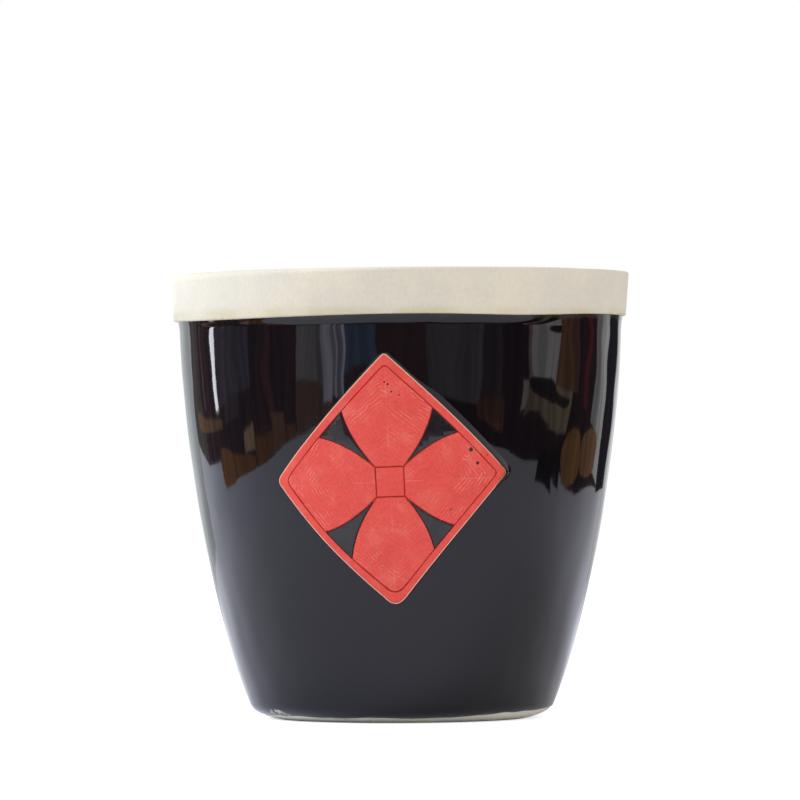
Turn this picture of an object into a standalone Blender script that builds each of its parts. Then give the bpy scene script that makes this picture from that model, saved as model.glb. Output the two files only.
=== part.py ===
"""A small open stoneware jar: bare clay rim and foot, black glaze outside, a raised red diamond in front.

Metres, +Z up. The origin is the middle of the base, on the surface that the jar stands on.
The emblem faces -Y.
"""
import math

import bmesh
import bpy

# Whole jar
HEIGHT = 0.1140
RIM_HEIGHT = 0.0116
RIM_OVERHANG = 0.0019
RIM_TAPER = 0.0004
FLOOR_TOP = 0.0075
WALL_THICKNESS = 0.0056
SEGMENTS = 56

# The wall's outside, drawn in from the shoulder to the foot by one curve
SHOULDER_RADIUS = 0.0567
WALL_FOOT_RADIUS = 0.0369
BELLY_POWER = 1.6
BELLY_ROUNDNESS = 0.78
WALL_STEPS = 8

# The flare just under the rim
FLARE_HEIGHT = 0.0022
FLARE_REACH = 0.00045
FLARE_STEPS = 2

# The foot: how far in the wall rolls to the ring that touches the table
ROLL_REACH = 0.0043
CONTACT_WIDTH = 0.0050
ROLL_HEIGHT = 0.0045
ROLL_POWER = 2.5
BARE_FOOT_HEIGHT = 0.0009
FOOT_RING_HEIGHT = 0.0034
RECESS_SLOPE = 0.0008
ROLL_STEPS = 2

# Coats, and the gap that separate solids keep where they touch
GLAZE_THICKNESS = 0.0006
LINING_THICKNESS = 0.0004
SEAT_GAP = 0.0003
LINING_DROP = 0.0060
INNER_CORNER_RADIUS = 0.0080
INNER_CORNER_STEPS = 4

# Rounded edges of the rim
RIM_OUTER_ROUND = 0.0012
RIM_INNER_ROUND = 0.0010
RIM_LOW_ROUND = 0.0005
ROUND_STEPS = 2

# The emblem: a diamond lying on the curved wall
EMBLEM_HALF_WIDTH = 0.0298
EMBLEM_HALF_HEIGHT = 0.0321
EMBLEM_DROP = 0.0417
EMBLEM_ALONG_WALL = -0.0027
EMBLEM_TURN = math.radians(2.1)
SIDE_CORNER_RISE = 0.0012
LOWER_LEFT_BULGE = 0.0014
CORNER_RUN_TOP = 0.0012
CORNER_RUN_RIGHT = 0.0012
CORNER_RUN_BOTTOM = 0.0046
CORNER_RUN_LEFT = 0.0022
CORNER_STEPS = 4
SIDE_STEPS = 4
WRAP_STEP = 0.0060

# The emblem's layers, as heights above the glaze
PAD_TOP = 0.00035
ENAMEL_THICKNESS = 0.0004
CENTRE_EXTRA = 0.00015
LIP_TOP = 0.00085
LIP_TOP_WIDTH = 0.0003
LIP_FOOT_WIDTH = 0.0016
CUT_OVERRUN = 0.0010

# The emblem's fields
HAIRLINE_WIDTH = 0.00035
BORDER_WIDTH = 0.0017

# Outline of a leaf field, in shares of the diamond's half width and half height
CENTRE_SQUARE_SHARE = 0.115
LEAF_BEND_SHARES = (0.33, 0.36)
LEAF_SHOULDER_SHARES = (0.37, 0.60)
LEAF_REACH_SHARES = (0.70, 1.30)
LEAF_TIP_SHARE = 1.60
LEAF_BEND_STEPS = 5

MERGE_DISTANCE = 0.000001
SHARP_ANGLE = math.radians(35)
RED = (0.72, 0.085, 0.062)

RIM_BASE_Z = HEIGHT - RIM_HEIGHT
RIM_RADIUS = SHOULDER_RADIUS + RIM_OVERHANG
CONTACT_OUTER_RADIUS = WALL_FOOT_RADIUS - ROLL_REACH
CONTACT_INNER_RADIUS = CONTACT_OUTER_RADIUS - CONTACT_WIDTH
EMBLEM_CENTRE_Z = RIM_BASE_Z - EMBLEM_DROP
COAT_BASE_Z = BARE_FOOT_HEIGHT + SEAT_GAP
BODY_BASE_Z = FOOT_RING_HEIGHT + SEAT_GAP
BODY_TOP_Z = RIM_BASE_Z - SEAT_GAP
LINING_TOP_Z = HEIGHT - LINING_DROP
COAT_DEPTH = GLAZE_THICKNESS + SEAT_GAP
ENAMEL_BASE = PAD_TOP + SEAT_GAP
ENAMEL_TOP = ENAMEL_BASE + ENAMEL_THICKNESS
BORDER_OUTER_INSET = HAIRLINE_WIDTH
BORDER_INNER_INSET = HAIRLINE_WIDTH + BORDER_WIDTH
FIELD_INSET = BORDER_INNER_INSET + SEAT_GAP

CORNER_RUNS = (CORNER_RUN_TOP, CORNER_RUN_RIGHT, CORNER_RUN_BOTTOM, CORNER_RUN_LEFT)
EDGE_BULGES = (0, 0, LOWER_LEFT_BULGE, 0)


def clear_scene():
    """Start from an empty scene."""
    for old in list(bpy.data.objects):
        bpy.data.objects.remove(old, do_unlink=True)


def make_material(name, colour, roughness, metallic=0.0, coat=0.0):
    """A Principled BSDF with this finish's colour and gloss."""
    material = bpy.data.materials.new(name)
    material.use_nodes = True
    shader = material.node_tree.nodes["Principled BSDF"]
    shader.inputs["Base Color"].default_value = (*colour, 1.0)
    shader.inputs["Roughness"].default_value = roughness
    shader.inputs["Metallic"].default_value = metallic
    shader.inputs["Coat Weight"].default_value = coat
    return material


def add_object(name, bm, material=None):
    """Turn a finished bmesh into a named object of the model."""
    mesh = bpy.data.meshes.new(name)
    bm.to_mesh(mesh)
    bm.free()
    piece = bpy.data.objects.new(name, mesh)
    bpy.context.scene.collection.objects.link(piece)
    if material:
        mesh.materials.append(material)
    mesh.shade_smooth()
    mesh.set_sharp_from_angle(angle=SHARP_ANGLE)
    return piece


def wall_radius(z):
    """Radius of the glazed wall at a height, from the shoulder down to the foot."""
    depth = min(max(1 - z / RIM_BASE_Z, 0), 1)
    fullness = (1 - depth ** BELLY_POWER) ** BELLY_ROUNDNESS
    return WALL_FOOT_RADIUS + (SHOULDER_RADIUS - WALL_FOOT_RADIUS) * fullness


def outer_radius(z):
    """The wall's outside with its flare under the rim and its roll into the foot."""
    radius = wall_radius(z)
    flare = max(0, z - (RIM_BASE_Z - FLARE_HEIGHT)) / FLARE_HEIGHT
    radius += FLARE_REACH * flare ** 2
    roll = max(0, 1 - z / ROLL_HEIGHT)
    return radius - ROLL_REACH * roll ** ROLL_POWER


def spread(low, high, steps):
    """Evenly spaced values from low to high, both ends included."""
    return [low + (high - low) * i / steps for i in range(steps + 1)]


def wall_heights(low, high):
    """Heights for the wall's rows: close together in the foot's roll and the rim's flare."""
    roll_rows = spread(low, ROLL_HEIGHT, ROLL_STEPS) if low < ROLL_HEIGHT else [low]
    flare_base = RIM_BASE_Z - FLARE_HEIGHT
    wall_rows = spread(max(low, ROLL_HEIGHT), flare_base, WALL_STEPS)
    flare_rows = spread(flare_base, high, FLARE_STEPS)
    return roll_rows + wall_rows[1:] + flare_rows[1:]


def round_corner(centre_r, centre_z, radius, start, end):
    """Points of a rounded profile corner, angles in degrees from +R towards +Z."""
    angles = [math.radians(a) for a in spread(start, end, ROUND_STEPS)]
    return [(centre_r + radius * math.cos(a), centre_z + radius * math.sin(a)) for a in angles]


def inside_profile(offset, top):
    """The hollow's outline from its top edge to the middle of the floor, moved into the clay by offset."""
    floor = FLOOR_TOP - offset
    corner = INNER_CORNER_RADIUS + offset
    points = [(wall_radius(z) - WALL_THICKNESS + offset, z) for z in spread(top, floor + corner, WALL_STEPS)]
    for turn in spread(0, math.pi / 2, INNER_CORNER_STEPS)[1:]:
        z = floor + corner * (1 - math.sin(turn))
        points.append((wall_radius(z) - WALL_THICKNESS + offset - corner * (1 - math.cos(turn)), z))
    points.append((0, floor))
    return points


def turned_piece(name, profile, material, closed):
    """Spin a profile of (radius, height) points round the jar's axis."""
    bm = bmesh.new()
    verts = [bm.verts.new((r, 0, z)) for r, z in profile]
    pairs = list(zip(verts, verts[1:]))
    if closed:
        pairs.append((verts[-1], verts[0]))
    edges = [bm.edges.new(pair) for pair in pairs]
    bmesh.ops.spin(bm, geom=verts + edges, cent=(0, 0, 0), axis=(0, 0, 1), dvec=(0, 0, 0),
                   angle=math.tau, steps=SEGMENTS, use_merge=True, use_duplicate=False)
    bmesh.ops.remove_doubles(bm, verts=bm.verts[:], dist=MERGE_DISTANCE)
    bmesh.ops.recalc_face_normals(bm, faces=bm.faces[:])
    return add_object(name, bm, material)


def make_clay_body(material):
    """Wall and floor, bare clay under both coats."""
    inside = inside_profile(LINING_THICKNESS + SEAT_GAP, BODY_TOP_Z)
    outside = [(outer_radius(z) - COAT_DEPTH, z) for z in wall_heights(BODY_BASE_Z, BODY_TOP_Z)]
    profile = inside[::-1] + outside[::-1] + [(0, BODY_BASE_Z)]
    return turned_piece("clay_body", profile, material, closed=False)


def make_rim_band(material):
    """The collar of bare clay round the mouth: narrower at its lower edge, stepped out behind the lining."""
    mouth = wall_radius(RIM_BASE_Z) - WALL_THICKNESS
    behind_lining = mouth + LINING_THICKNESS + SEAT_GAP
    low_outer = RIM_RADIUS - RIM_TAPER
    profile = [(mouth, LINING_TOP_Z + SEAT_GAP), (behind_lining, LINING_TOP_Z + SEAT_GAP)]
    profile.append((behind_lining, RIM_BASE_Z))
    profile += round_corner(low_outer - RIM_LOW_ROUND, RIM_BASE_Z + RIM_LOW_ROUND, RIM_LOW_ROUND, -90, 0)
    profile += round_corner(RIM_RADIUS - RIM_OUTER_ROUND, HEIGHT - RIM_OUTER_ROUND, RIM_OUTER_ROUND, 0, 90)
    profile += round_corner(mouth + RIM_INNER_ROUND, HEIGHT - RIM_INNER_ROUND, RIM_INNER_ROUND, 90, 180)
    return turned_piece("rim_band", profile, material, closed=True)


def make_foot_ring(material):
    """The ring that touches the table: bare at its lowest edge, then stepped in under the glaze."""
    bare = [(outer_radius(z), z) for z in spread(0, BARE_FOOT_HEIGHT, ROLL_STEPS)]
    glazed_over = spread(BARE_FOOT_HEIGHT, FOOT_RING_HEIGHT, ROLL_STEPS)
    covered = [(outer_radius(z) - COAT_DEPTH, z) for z in glazed_over]
    inner = [(CONTACT_INNER_RADIUS - RECESS_SLOPE, FOOT_RING_HEIGHT), (CONTACT_INNER_RADIUS, 0)]
    return turned_piece("foot_ring", bare + covered + inner, material, closed=True)


def make_glaze_lining(material):
    """The coat inside, from the middle of the floor to a little below the mouth."""
    inside = inside_profile(0, LINING_TOP_Z)
    against_clay = inside_profile(LINING_THICKNESS, LINING_TOP_Z)
    return turned_piece("glaze_lining", inside[::-1] + against_clay, material, closed=False)


def diamond_corners(inset):
    """The diamond's four corners, clockwise from the top, with every edge moved in by inset."""
    edge = math.hypot(EMBLEM_HALF_WIDTH, EMBLEM_HALF_HEIGHT)
    size = 1 - inset * edge / (EMBLEM_HALF_WIDTH * EMBLEM_HALF_HEIGHT)
    wide, tall = EMBLEM_HALF_WIDTH * size, EMBLEM_HALF_HEIGHT * size
    rise = SIDE_CORNER_RISE * size
    return [(0, tall), (wide, rise), (0, -tall), (-wide, rise)]


def toward(a, b, distance):
    """The point at a distance from a on the way to b."""
    length = math.dist(a, b)
    return (a[0] + (b[0] - a[0]) * distance / length, a[1] + (b[1] - a[1]) * distance / length)


def outward(a, b):
    """Unit direction out of a clockwise outline, square to its edge from a to b."""
    length = math.dist(a, b)
    return ((a[1] - b[1]) / length, (b[0] - a[0]) / length)


def bend(a, b, c, steps):
    """A curve from a to c that is pulled towards b."""
    points = []
    for t in spread(0, 1, steps):
        weights = ((1 - t) ** 2, 2 * t * (1 - t), t ** 2)
        points.append(tuple(sum(w * p[i] for w, p in zip(weights, (a, b, c))) for i in (0, 1)))
    return points


def diamond_outline(inset):
    """Rounded corners joined by edges, one of which swells outwards, as (along the wall, up) points."""
    corners = diamond_corners(inset)
    outline = []
    for i in range(4):
        before, corner, after = corners[i - 1], corners[i], corners[(i + 1) % 4]
        run = CORNER_RUNS[i]
        outline += bend(toward(corner, before, run), corner, toward(corner, after, run), CORNER_STEPS)
        start, end = outline[-1], toward(after, corner, CORNER_RUNS[(i + 1) % 4])
        out = outward(start, end)
        for t in spread(0, 1, SIDE_STEPS)[1:-1]:
            swell = EDGE_BULGES[i] * 4 * t * (1 - t)
            outline.append(tuple(start[k] + (end[k] - start[k]) * t + out[k] * swell for k in (0, 1)))
    return outline


def flat_face(bm, outline):
    """One flat face from an outline, lying in the XZ plane."""
    face = bm.faces.new([bm.verts.new((x, 0, z)) for x, z in outline])
    face.normal_update()
    return face


def flat_frame(bm, outer, inner):
    """A flat frame between two outlines of as many points."""
    rings = []
    for outline in (outer, inner):
        verts = [bm.verts.new((x, 0, z)) for x, z in outline]
        rings += [bm.edges.new(pair) for pair in zip(verts, verts[1:] + verts[:1])]
    bmesh.ops.bridge_loops(bm, edges=rings)


def thicken(bm, low, high):
    """Give a flat shape its two faces, at heights above the glaze."""
    for vert in bm.verts:
        vert.co.y = -low
    made = bmesh.ops.extrude_face_region(bm, geom=bm.faces[:], use_keep_orig=True)
    for item in made["geom"]:
        if isinstance(item, bmesh.types.BMVert):
            item.co.y = -high


def lay_on_wall(bm):
    """Cut a flat shape into small faces, turn it a little and wrap it round the jar's curved front."""
    for axis, reach in ((0, EMBLEM_HALF_WIDTH), (2, EMBLEM_HALF_HEIGHT)):
        cuts = math.ceil(reach / WRAP_STEP)
        normal = [0, 0, 0]
        normal[axis] = 1
        for i in range(-cuts, cuts + 1):
            place = [0, 0, 0]
            place[axis] = i * WRAP_STEP
            bmesh.ops.bisect_plane(bm, geom=bm.verts[:] + bm.edges[:] + bm.faces[:],
                                   dist=MERGE_DISTANCE, plane_co=place, plane_no=normal)
    bmesh.ops.triangulate(bm, faces=bm.faces[:])
    around = outer_radius(EMBLEM_CENTRE_Z)
    cos, sin = math.cos(EMBLEM_TURN), math.sin(EMBLEM_TURN)
    for vert in bm.verts:
        z = vert.co.x * sin + vert.co.z * cos + EMBLEM_CENTRE_Z
        angle = (vert.co.x * cos - vert.co.z * sin + EMBLEM_ALONG_WALL) / around
        radius = outer_radius(z) - vert.co.y
        vert.co = (radius * math.sin(angle), -radius * math.cos(angle), z)
    bmesh.ops.recalc_face_normals(bm, faces=bm.faces[:])


def make_pad(material):
    """The raised clay diamond, seated on the clay wall through the window in the glaze."""
    bm = bmesh.new()
    flat_face(bm, diamond_outline(0))
    thicken(bm, -GLAZE_THICKNESS, PAD_TOP)
    lay_on_wall(bm)
    return add_object("emblem_pad", bm, material)


def make_border(material):
    """The plain red band just inside the diamond's edge."""
    bm = bmesh.new()
    flat_frame(bm, diamond_outline(BORDER_OUTER_INSET), diamond_outline(BORDER_INNER_INSET))
    thicken(bm, ENAMEL_BASE, ENAMEL_TOP)
    lay_on_wall(bm)
    return add_object("emblem_border", bm, material)


def window_cutter():
    """The shape that opens the glaze coat for the pad."""
    bm = bmesh.new()
    flat_face(bm, diamond_outline(-SEAT_GAP))
    thicken(bm, -GLAZE_THICKNESS - CUT_OVERRUN, LIP_TOP + CUT_OVERRUN)
    lay_on_wall(bm)
    cutter = add_object("window_cutter", bm)
    cutter.hide_render = True
    cutter.display_type = "WIRE"
    return cutter


def glaze_lip():
    """The glaze where it climbs the pad's sides: a sloping diamond laid half into the coat."""
    bm = bmesh.new()
    flat_face(bm, diamond_outline(-SEAT_GAP - LIP_FOOT_WIDTH))
    thicken(bm, -GLAZE_THICKNESS / 2, 0)
    top = [face for face in bm.faces if all(vert.co.y == 0 for vert in face.verts)]
    raised = bmesh.ops.extrude_face_region(bm, geom=top)
    verts = [item for item in raised["geom"] if isinstance(item, bmesh.types.BMVert)]
    bmesh.ops.delete(bm, geom=top, context="FACES")
    for vert, (x, z) in zip(verts, diamond_outline(-SEAT_GAP - LIP_TOP_WIDTH)):
        vert.co = (x, -LIP_TOP, z)
    lay_on_wall(bm)
    lip = add_object("lip_guide", bm)
    lip.hide_render = True
    lip.display_type = "WIRE"
    return lip


def add_boolean(piece, other, operation):
    """Join or cut a piece with another object."""
    modifier = piece.modifiers.new(other.name, "BOOLEAN")
    modifier.operation = operation
    modifier.solver = "EXACT"
    modifier.object = other


def make_black_coat(material):
    """The black coat outside, lipped round the emblem and open where the pad comes through."""
    heights = wall_heights(COAT_BASE_Z, BODY_TOP_Z)
    outside = [(outer_radius(z), z) for z in heights]
    against_clay = [(outer_radius(z) - GLAZE_THICKNESS, z) for z in heights]
    coat = turned_piece("black_glaze_coat", outside + against_clay[::-1], material, closed=True)
    add_boolean(coat, glaze_lip(), "UNION")
    add_boolean(coat, window_cutter(), "DIFFERENCE")
    return coat


def leaf_side():
    """One side of the upright leaf, from the centre square out past the border."""
    def scaled(shares):
        return (shares[0] * EMBLEM_HALF_WIDTH, shares[1] * EMBLEM_HALF_HEIGHT)

    start = scaled((CENTRE_SQUARE_SHARE, CENTRE_SQUARE_SHARE))
    side = bend(start, scaled(LEAF_BEND_SHARES), scaled(LEAF_SHOULDER_SHARES), LEAF_BEND_STEPS)
    return side + [scaled(LEAF_REACH_SHARES)]


def swapped(points):
    """The same points mirrored across the diamond's diagonal."""
    ratio = EMBLEM_HALF_WIDTH / EMBLEM_HALF_HEIGHT
    return [(z * ratio, x / ratio) for x, z in points]


def field_piece(name, outline, material, top):
    """An enamel field: its outline drawn in by half a gap, trimmed by the border and laid on the wall."""
    bm = bmesh.new()
    face = flat_face(bm, outline)
    ring = bmesh.ops.inset_region(bm, faces=[face], thickness=SEAT_GAP / 2, use_boundary=True,
                                  use_even_offset=True)
    bmesh.ops.delete(bm, geom=ring["faces"], context="FACES")
    trim = diamond_outline(FIELD_INSET)
    for a, b in zip(trim, trim[1:] + trim[:1]):
        out = outward(a, b)
        bmesh.ops.bisect_plane(bm, geom=bm.verts[:] + bm.edges[:] + bm.faces[:], dist=MERGE_DISTANCE,
                               plane_co=(a[0], 0, a[1]), plane_no=(out[0], 0, out[1]), clear_outer=True)
    thicken(bm, ENAMEL_BASE, top)
    lay_on_wall(bm)
    return add_object(name, bm, material)


def make_leaves(material):
    """Four red leaves, each pointing to a corner of the diamond."""
    side = leaf_side()
    tip = (0, LEAF_TIP_SHARE * EMBLEM_HALF_HEIGHT)
    upright = side + [tip] + [(-x, z) for x, z in side[::-1]]
    sideways = swapped(upright)
    field_piece("leaf_top", upright, material, ENAMEL_TOP)
    field_piece("leaf_bottom", [(x, -z) for x, z in upright], material, ENAMEL_TOP)
    field_piece("leaf_right", sideways, material, ENAMEL_TOP)
    field_piece("leaf_left", [(-x, z) for x, z in sideways], material, ENAMEL_TOP)


def make_inlays(material):
    """Four black fields between the leaves."""
    side = leaf_side()
    wedge = side + swapped(side)[:0:-1]
    for name, across, up in (("inlay_upper_right", 1, 1), ("inlay_lower_right", 1, -1),
                             ("inlay_lower_left", -1, -1), ("inlay_upper_left", -1, 1)):
        field_piece(name, [(x * across, z * up) for x, z in wedge], material, ENAMEL_TOP)


def make_centre(material):
    """The small square that the leaves spring from."""
    wide = CENTRE_SQUARE_SHARE * EMBLEM_HALF_WIDTH
    tall = CENTRE_SQUARE_SHARE * EMBLEM_HALF_HEIGHT
    square = [(-wide, -tall), (wide, -tall), (wide, tall), (-wide, tall)]
    field_piece("centre_square", square, material, ENAMEL_TOP + CENTRE_EXTRA)


def main():
    clear_scene()
    make_clay_body(make_material("body_clay", (0.62, 0.57, 0.48), 0.85))
    make_rim_band(make_material("rim_clay", (0.68, 0.63, 0.54), 0.70))
    make_foot_ring(make_material("foot_clay", (0.58, 0.54, 0.46), 0.85))
    make_black_coat(make_material("black_glaze", (0.012, 0.012, 0.014), 0.08, coat=1.0))
    make_glaze_lining(make_material("lining_glaze", (0.60, 0.55, 0.45), 0.15, coat=1.0))
    make_pad(make_material("pad_clay", (0.66, 0.52, 0.42), 0.80))
    make_border(make_material("border_enamel", RED, 0.55))
    make_leaves(make_material("leaf_enamel", RED, 0.60))
    make_inlays(make_material("inlay_glaze", (0.014, 0.013, 0.014), 0.12, coat=1.0))
    make_centre(make_material("centre_enamel", RED, 0.50))


main()
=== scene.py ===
# %% [markdown]
# # A small open stoneware jar
#
# The real jar is turned from pale clay, dipped in black glaze as far as its rim, and stands on a bare ring
# of clay. A raised diamond on its front is filled with red and black enamel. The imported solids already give
# every size. This lesson builds a fine mesh for each piece that shows, gives each finish a procedural
# material, and sets the jar in plain light.

# %% Load the frame
import math

import bmesh
import bpy
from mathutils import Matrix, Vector, noise


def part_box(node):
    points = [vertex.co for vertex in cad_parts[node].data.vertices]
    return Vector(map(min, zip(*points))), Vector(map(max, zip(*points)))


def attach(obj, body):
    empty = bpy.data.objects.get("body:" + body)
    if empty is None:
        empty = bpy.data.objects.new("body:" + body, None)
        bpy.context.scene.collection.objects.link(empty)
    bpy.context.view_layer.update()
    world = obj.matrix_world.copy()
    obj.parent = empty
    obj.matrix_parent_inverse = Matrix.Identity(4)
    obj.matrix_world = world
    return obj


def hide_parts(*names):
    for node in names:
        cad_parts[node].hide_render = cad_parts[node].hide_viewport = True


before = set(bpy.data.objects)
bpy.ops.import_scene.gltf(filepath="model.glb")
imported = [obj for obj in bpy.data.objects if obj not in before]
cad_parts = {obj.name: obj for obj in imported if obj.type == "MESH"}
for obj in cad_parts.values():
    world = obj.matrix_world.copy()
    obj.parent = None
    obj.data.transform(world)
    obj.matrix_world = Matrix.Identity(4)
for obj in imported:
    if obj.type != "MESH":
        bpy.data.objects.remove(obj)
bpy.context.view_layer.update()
scene = bpy.context.scene
print("solids in the frame:", len(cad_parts))

# %% [markdown]
# ## The camera
#
# A small product is photographed from far off with a long lens, so its rim looks nearly straight. Tilting
# the camera down would lean the jar's sides together, so the camera stays level and its lens is shifted
# instead. The picture was taken with the camera turned by less than a degree, and the same turn is given
# here.

# %% Camera
CAMERA_DISTANCE = 1.50
CAMERA_HEIGHT = 0.066
CAMERA_LENS_MM = 263.0
CAMERA_SHIFT_UP = 0.0754
CAMERA_SHIFT_SIDE = -0.0013
CAMERA_TURN = math.radians(0.25)

camera_data = bpy.data.cameras.new("camera")
camera_data.lens = CAMERA_LENS_MM
camera_data.shift_y = CAMERA_SHIFT_UP
camera_data.shift_x = CAMERA_SHIFT_SIDE
camera = bpy.data.objects.new("camera", camera_data)
camera.location = (0, -CAMERA_DISTANCE, CAMERA_HEIGHT)
camera.rotation_euler = (math.radians(90), CAMERA_TURN, 0)
scene.collection.objects.link(camera)
scene.camera = camera
seen_width = camera_data.sensor_width / CAMERA_LENS_MM * CAMERA_DISTANCE
print(f"the picture is {seen_width * 1000:.0f} mm wide at the jar")

# %% [markdown]
# ## The turned wall
#
# Every piece of the jar lies on, in or under one curved wall, so its curve comes first. A potter would call
# it a belly drawn in to a foot. One power curve gives the belly. A second small one rolls the wall in to
# the ring that touches the table, and a third flares it out where the glaze pools under the rim. Reading
# the outer sizes from the frame keeps this wall on the solids.

# %% Sizes read from the frame
RIM_OVERHANG = 0.0019
rim_low, rim_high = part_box("rim_band")
HEIGHT = rim_high.z
RIM_BASE_Z = rim_low.z
RIM_RADIUS = rim_high.x
SHOULDER_RADIUS = RIM_RADIUS - RIM_OVERHANG
FOOT_RING_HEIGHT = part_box("foot_ring")[1].z
COAT_BASE_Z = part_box("black_glaze_coat")[0].z
FLOOR_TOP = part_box("glaze_lining")[0].z
print(f"height {HEIGHT:.4f}, rim radius {RIM_RADIUS:.4f}, rim from {RIM_BASE_Z:.4f} up")

# %% The wall's curve
WALL_FOOT_RADIUS = 0.0369
BELLY_POWER = 1.6
BELLY_ROUNDNESS = 0.78
FLARE_HEIGHT = 0.0030
FLARE_REACH = 0.00060
FLARE_POWER = 1.6
ROLL_REACH = 0.0051
ROLL_HEIGHT = 0.0045
ROLL_POWER = 3.0
CONTACT_RADIUS = WALL_FOOT_RADIUS - ROLL_REACH
WALL_THICKNESS = 0.0056
GLAZE_THICKNESS = 0.0006
LINING_THICKNESS = 0.0004


def wall_radius(z):
    """Radius of the glazed wall at a height, from the shoulder down to the foot."""
    depth = min(max(1 - z / RIM_BASE_Z, 0), 1)
    fullness = (1 - depth ** BELLY_POWER) ** BELLY_ROUNDNESS
    return WALL_FOOT_RADIUS + (SHOULDER_RADIUS - WALL_FOOT_RADIUS) * fullness


def flare(z):
    """How far the glaze stands out where it pooled under the rim."""
    return FLARE_REACH * max(0, 1 - (RIM_BASE_Z - z) / FLARE_HEIGHT) ** FLARE_POWER


def outer_radius(z):
    """The wall's outside, with its flare under the rim and its roll into the foot."""
    roll = max(0, 1 - z / ROLL_HEIGHT)
    return wall_radius(z) + flare(z) - ROLL_REACH * roll ** ROLL_POWER


print(f"wall radius at mid height {outer_radius(HEIGHT / 2):.4f}")

# %% [markdown]
# ## Ripples in the glaze
#
# Fired glaze is never quite true: shallow waves, longer up and down than round the jar, stand a tenth of a
# millimetre off the turned curve. They hardly show as shape, but they bend every reflection. Bump in a
# material could fake them, yet the emblem has to sit on the same waves, so they are made in the mesh, with
# one function that every piece shares.

# %% Ripples
RIPPLE_LENGTH = 0.0085
RIPPLE_HEIGHT = 0.0125
RIPPLE_DEPTH = 0.00012
RIPPLE_FADE = 0.0060


def spread(low, high, steps):
    """Evenly spaced values from low to high, both ends included."""
    return [low + (high - low) * i / steps for i in range(steps + 1)]


def share_between(value, low, high):
    """Where a value lies between two others, from 0 to 1, with soft ends."""
    t = min(max((value - low) / (high - low), 0), 1)
    return t * t * (3 - 2 * t)


def ripple(angle, z):
    """How far the glaze stands off the turned curve, at a turn from the front and a height."""
    round_share = SHOULDER_RADIUS / RIPPLE_LENGTH
    place = Vector((round_share * math.sin(angle), -round_share * math.cos(angle), z / RIPPLE_HEIGHT))
    ends = share_between(z, 0, RIPPLE_FADE) * share_between(RIM_BASE_Z - z, 0, RIPPLE_FADE)
    return RIPPLE_DEPTH * ends * noise.noise(place)


turns, heights = spread(0, math.tau, 72), spread(0.01, 0.1, 18)
waves = [ripple(turn, z) for turn in turns for z in heights]
print(f"ripples from {min(waves) * 1e6:.0f} to {max(waves) * 1e6:.0f} thousandths of a millimetre")

# %% [markdown]
# ## Helpers for meshes
#
# A pot is a profile spun round an axis, so `turned` does that with bmesh's spin. `object_from` makes an
# object of a bmesh, and `keep` makes that object a piece of the jar: it rides on the jar's body, and the
# solids it stands for are hidden.

# %% Turning and keeping
TURN_STEPS = 320
MERGE_DISTANCE = 0.000001
SHARP_ANGLE = math.radians(40)


def turned(profile, closed=True):
    """Spin a profile of (radius, height) points once round the jar's axis."""
    bm = bmesh.new()
    verts = [bm.verts.new((radius, 0, z)) for radius, z in profile]
    ends = verts[1:] + verts[:1] if closed else verts[1:]
    edges = [bm.edges.new(pair) for pair in zip(verts, ends)]
    bmesh.ops.spin(bm, geom=verts + edges, cent=(0, 0, 0), axis=(0, 0, 1), dvec=(0, 0, 0),
                   angle=math.tau, steps=TURN_STEPS, use_merge=True, use_duplicate=False)
    bmesh.ops.remove_doubles(bm, verts=bm.verts[:], dist=MERGE_DISTANCE)
    bmesh.ops.recalc_face_normals(bm, faces=bm.faces[:])
    return bm


def closed_ring(bm, points):
    """A closed ring of edges through these points."""
    verts = [bm.verts.new(point) for point in points]
    return [bm.edges.new(pair) for pair in zip(verts, verts[1:] + verts[:1])]


def object_from(name, bm, *materials):
    """Make a bmesh an object in the scene."""
    mesh = bpy.data.meshes.new(name)
    bm.to_mesh(mesh)
    bm.free()
    for material in materials:
        mesh.materials.append(material)
    made = bpy.data.objects.new(name, mesh)
    scene.collection.objects.link(made)
    return made


def keep(name, bm, slot, materials, *nodes):
    """Make a bmesh a piece of the jar, standing for these solids."""
    piece = object_from(name, bm, *materials)
    piece.data.shade_smooth()
    piece.data.set_sharp_from_angle(angle=SHARP_ANGLE)
    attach(piece, "root")
    if nodes:
        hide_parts(*nodes)
    print(f"{name}: {len(piece.data.polygons)} faces")
    return piece


def arc(centre_r, centre_z, radius, start, end, steps=6):
    """Points of a rounded profile corner, angles in degrees from outwards towards up."""
    turns = [math.radians(turn) for turn in spread(start, end, steps)]
    return [(centre_r + radius * math.cos(turn), centre_z + radius * math.sin(turn)) for turn in turns]


def turn_of(point):
    """A point's turn about the jar's axis, from the front towards +X."""
    return math.atan2(point.x, -point.y)


# %% [markdown]
# ## Node trees in few lines
#
# A material is a tree of nodes, and writing out every link hides what it does. `add` puts one node in a
# tree and takes its inputs as a dictionary: a socket is linked, and anything else is set as a value. The
# small functions after it name the sums that the materials use over and over.

# %% Helpers for node trees
def add(tree, kind, inputs=None, **settings):
    """Put a node in a tree. Each input is a value, or a socket to link from."""
    made = tree.nodes.new("ShaderNode" + kind)
    for name, value in settings.items():
        setattr(made, name, value)
    for name, value in (inputs or {}).items():
        if isinstance(value, bpy.types.NodeSocket):
            tree.links.new(value, made.inputs[name])
        else:
            made.inputs[name].default_value = value
    return made


def sum_of(tree, operation, first, second=0.0, clamp=False):
    """A Math node's result."""
    return add(tree, "Math", {0: first, 1: second}, operation=operation, use_clamp=clamp).outputs[0]


def times(tree, first, second, clamp=False):
    """The product of two values."""
    return sum_of(tree, "MULTIPLY", first, second, clamp)


def vector_sum(tree, operation, first, second):
    """A Vector Math node, for its vector or its value."""
    return add(tree, "VectorMath", {0: first, 1: second}, operation=operation).outputs


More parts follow.
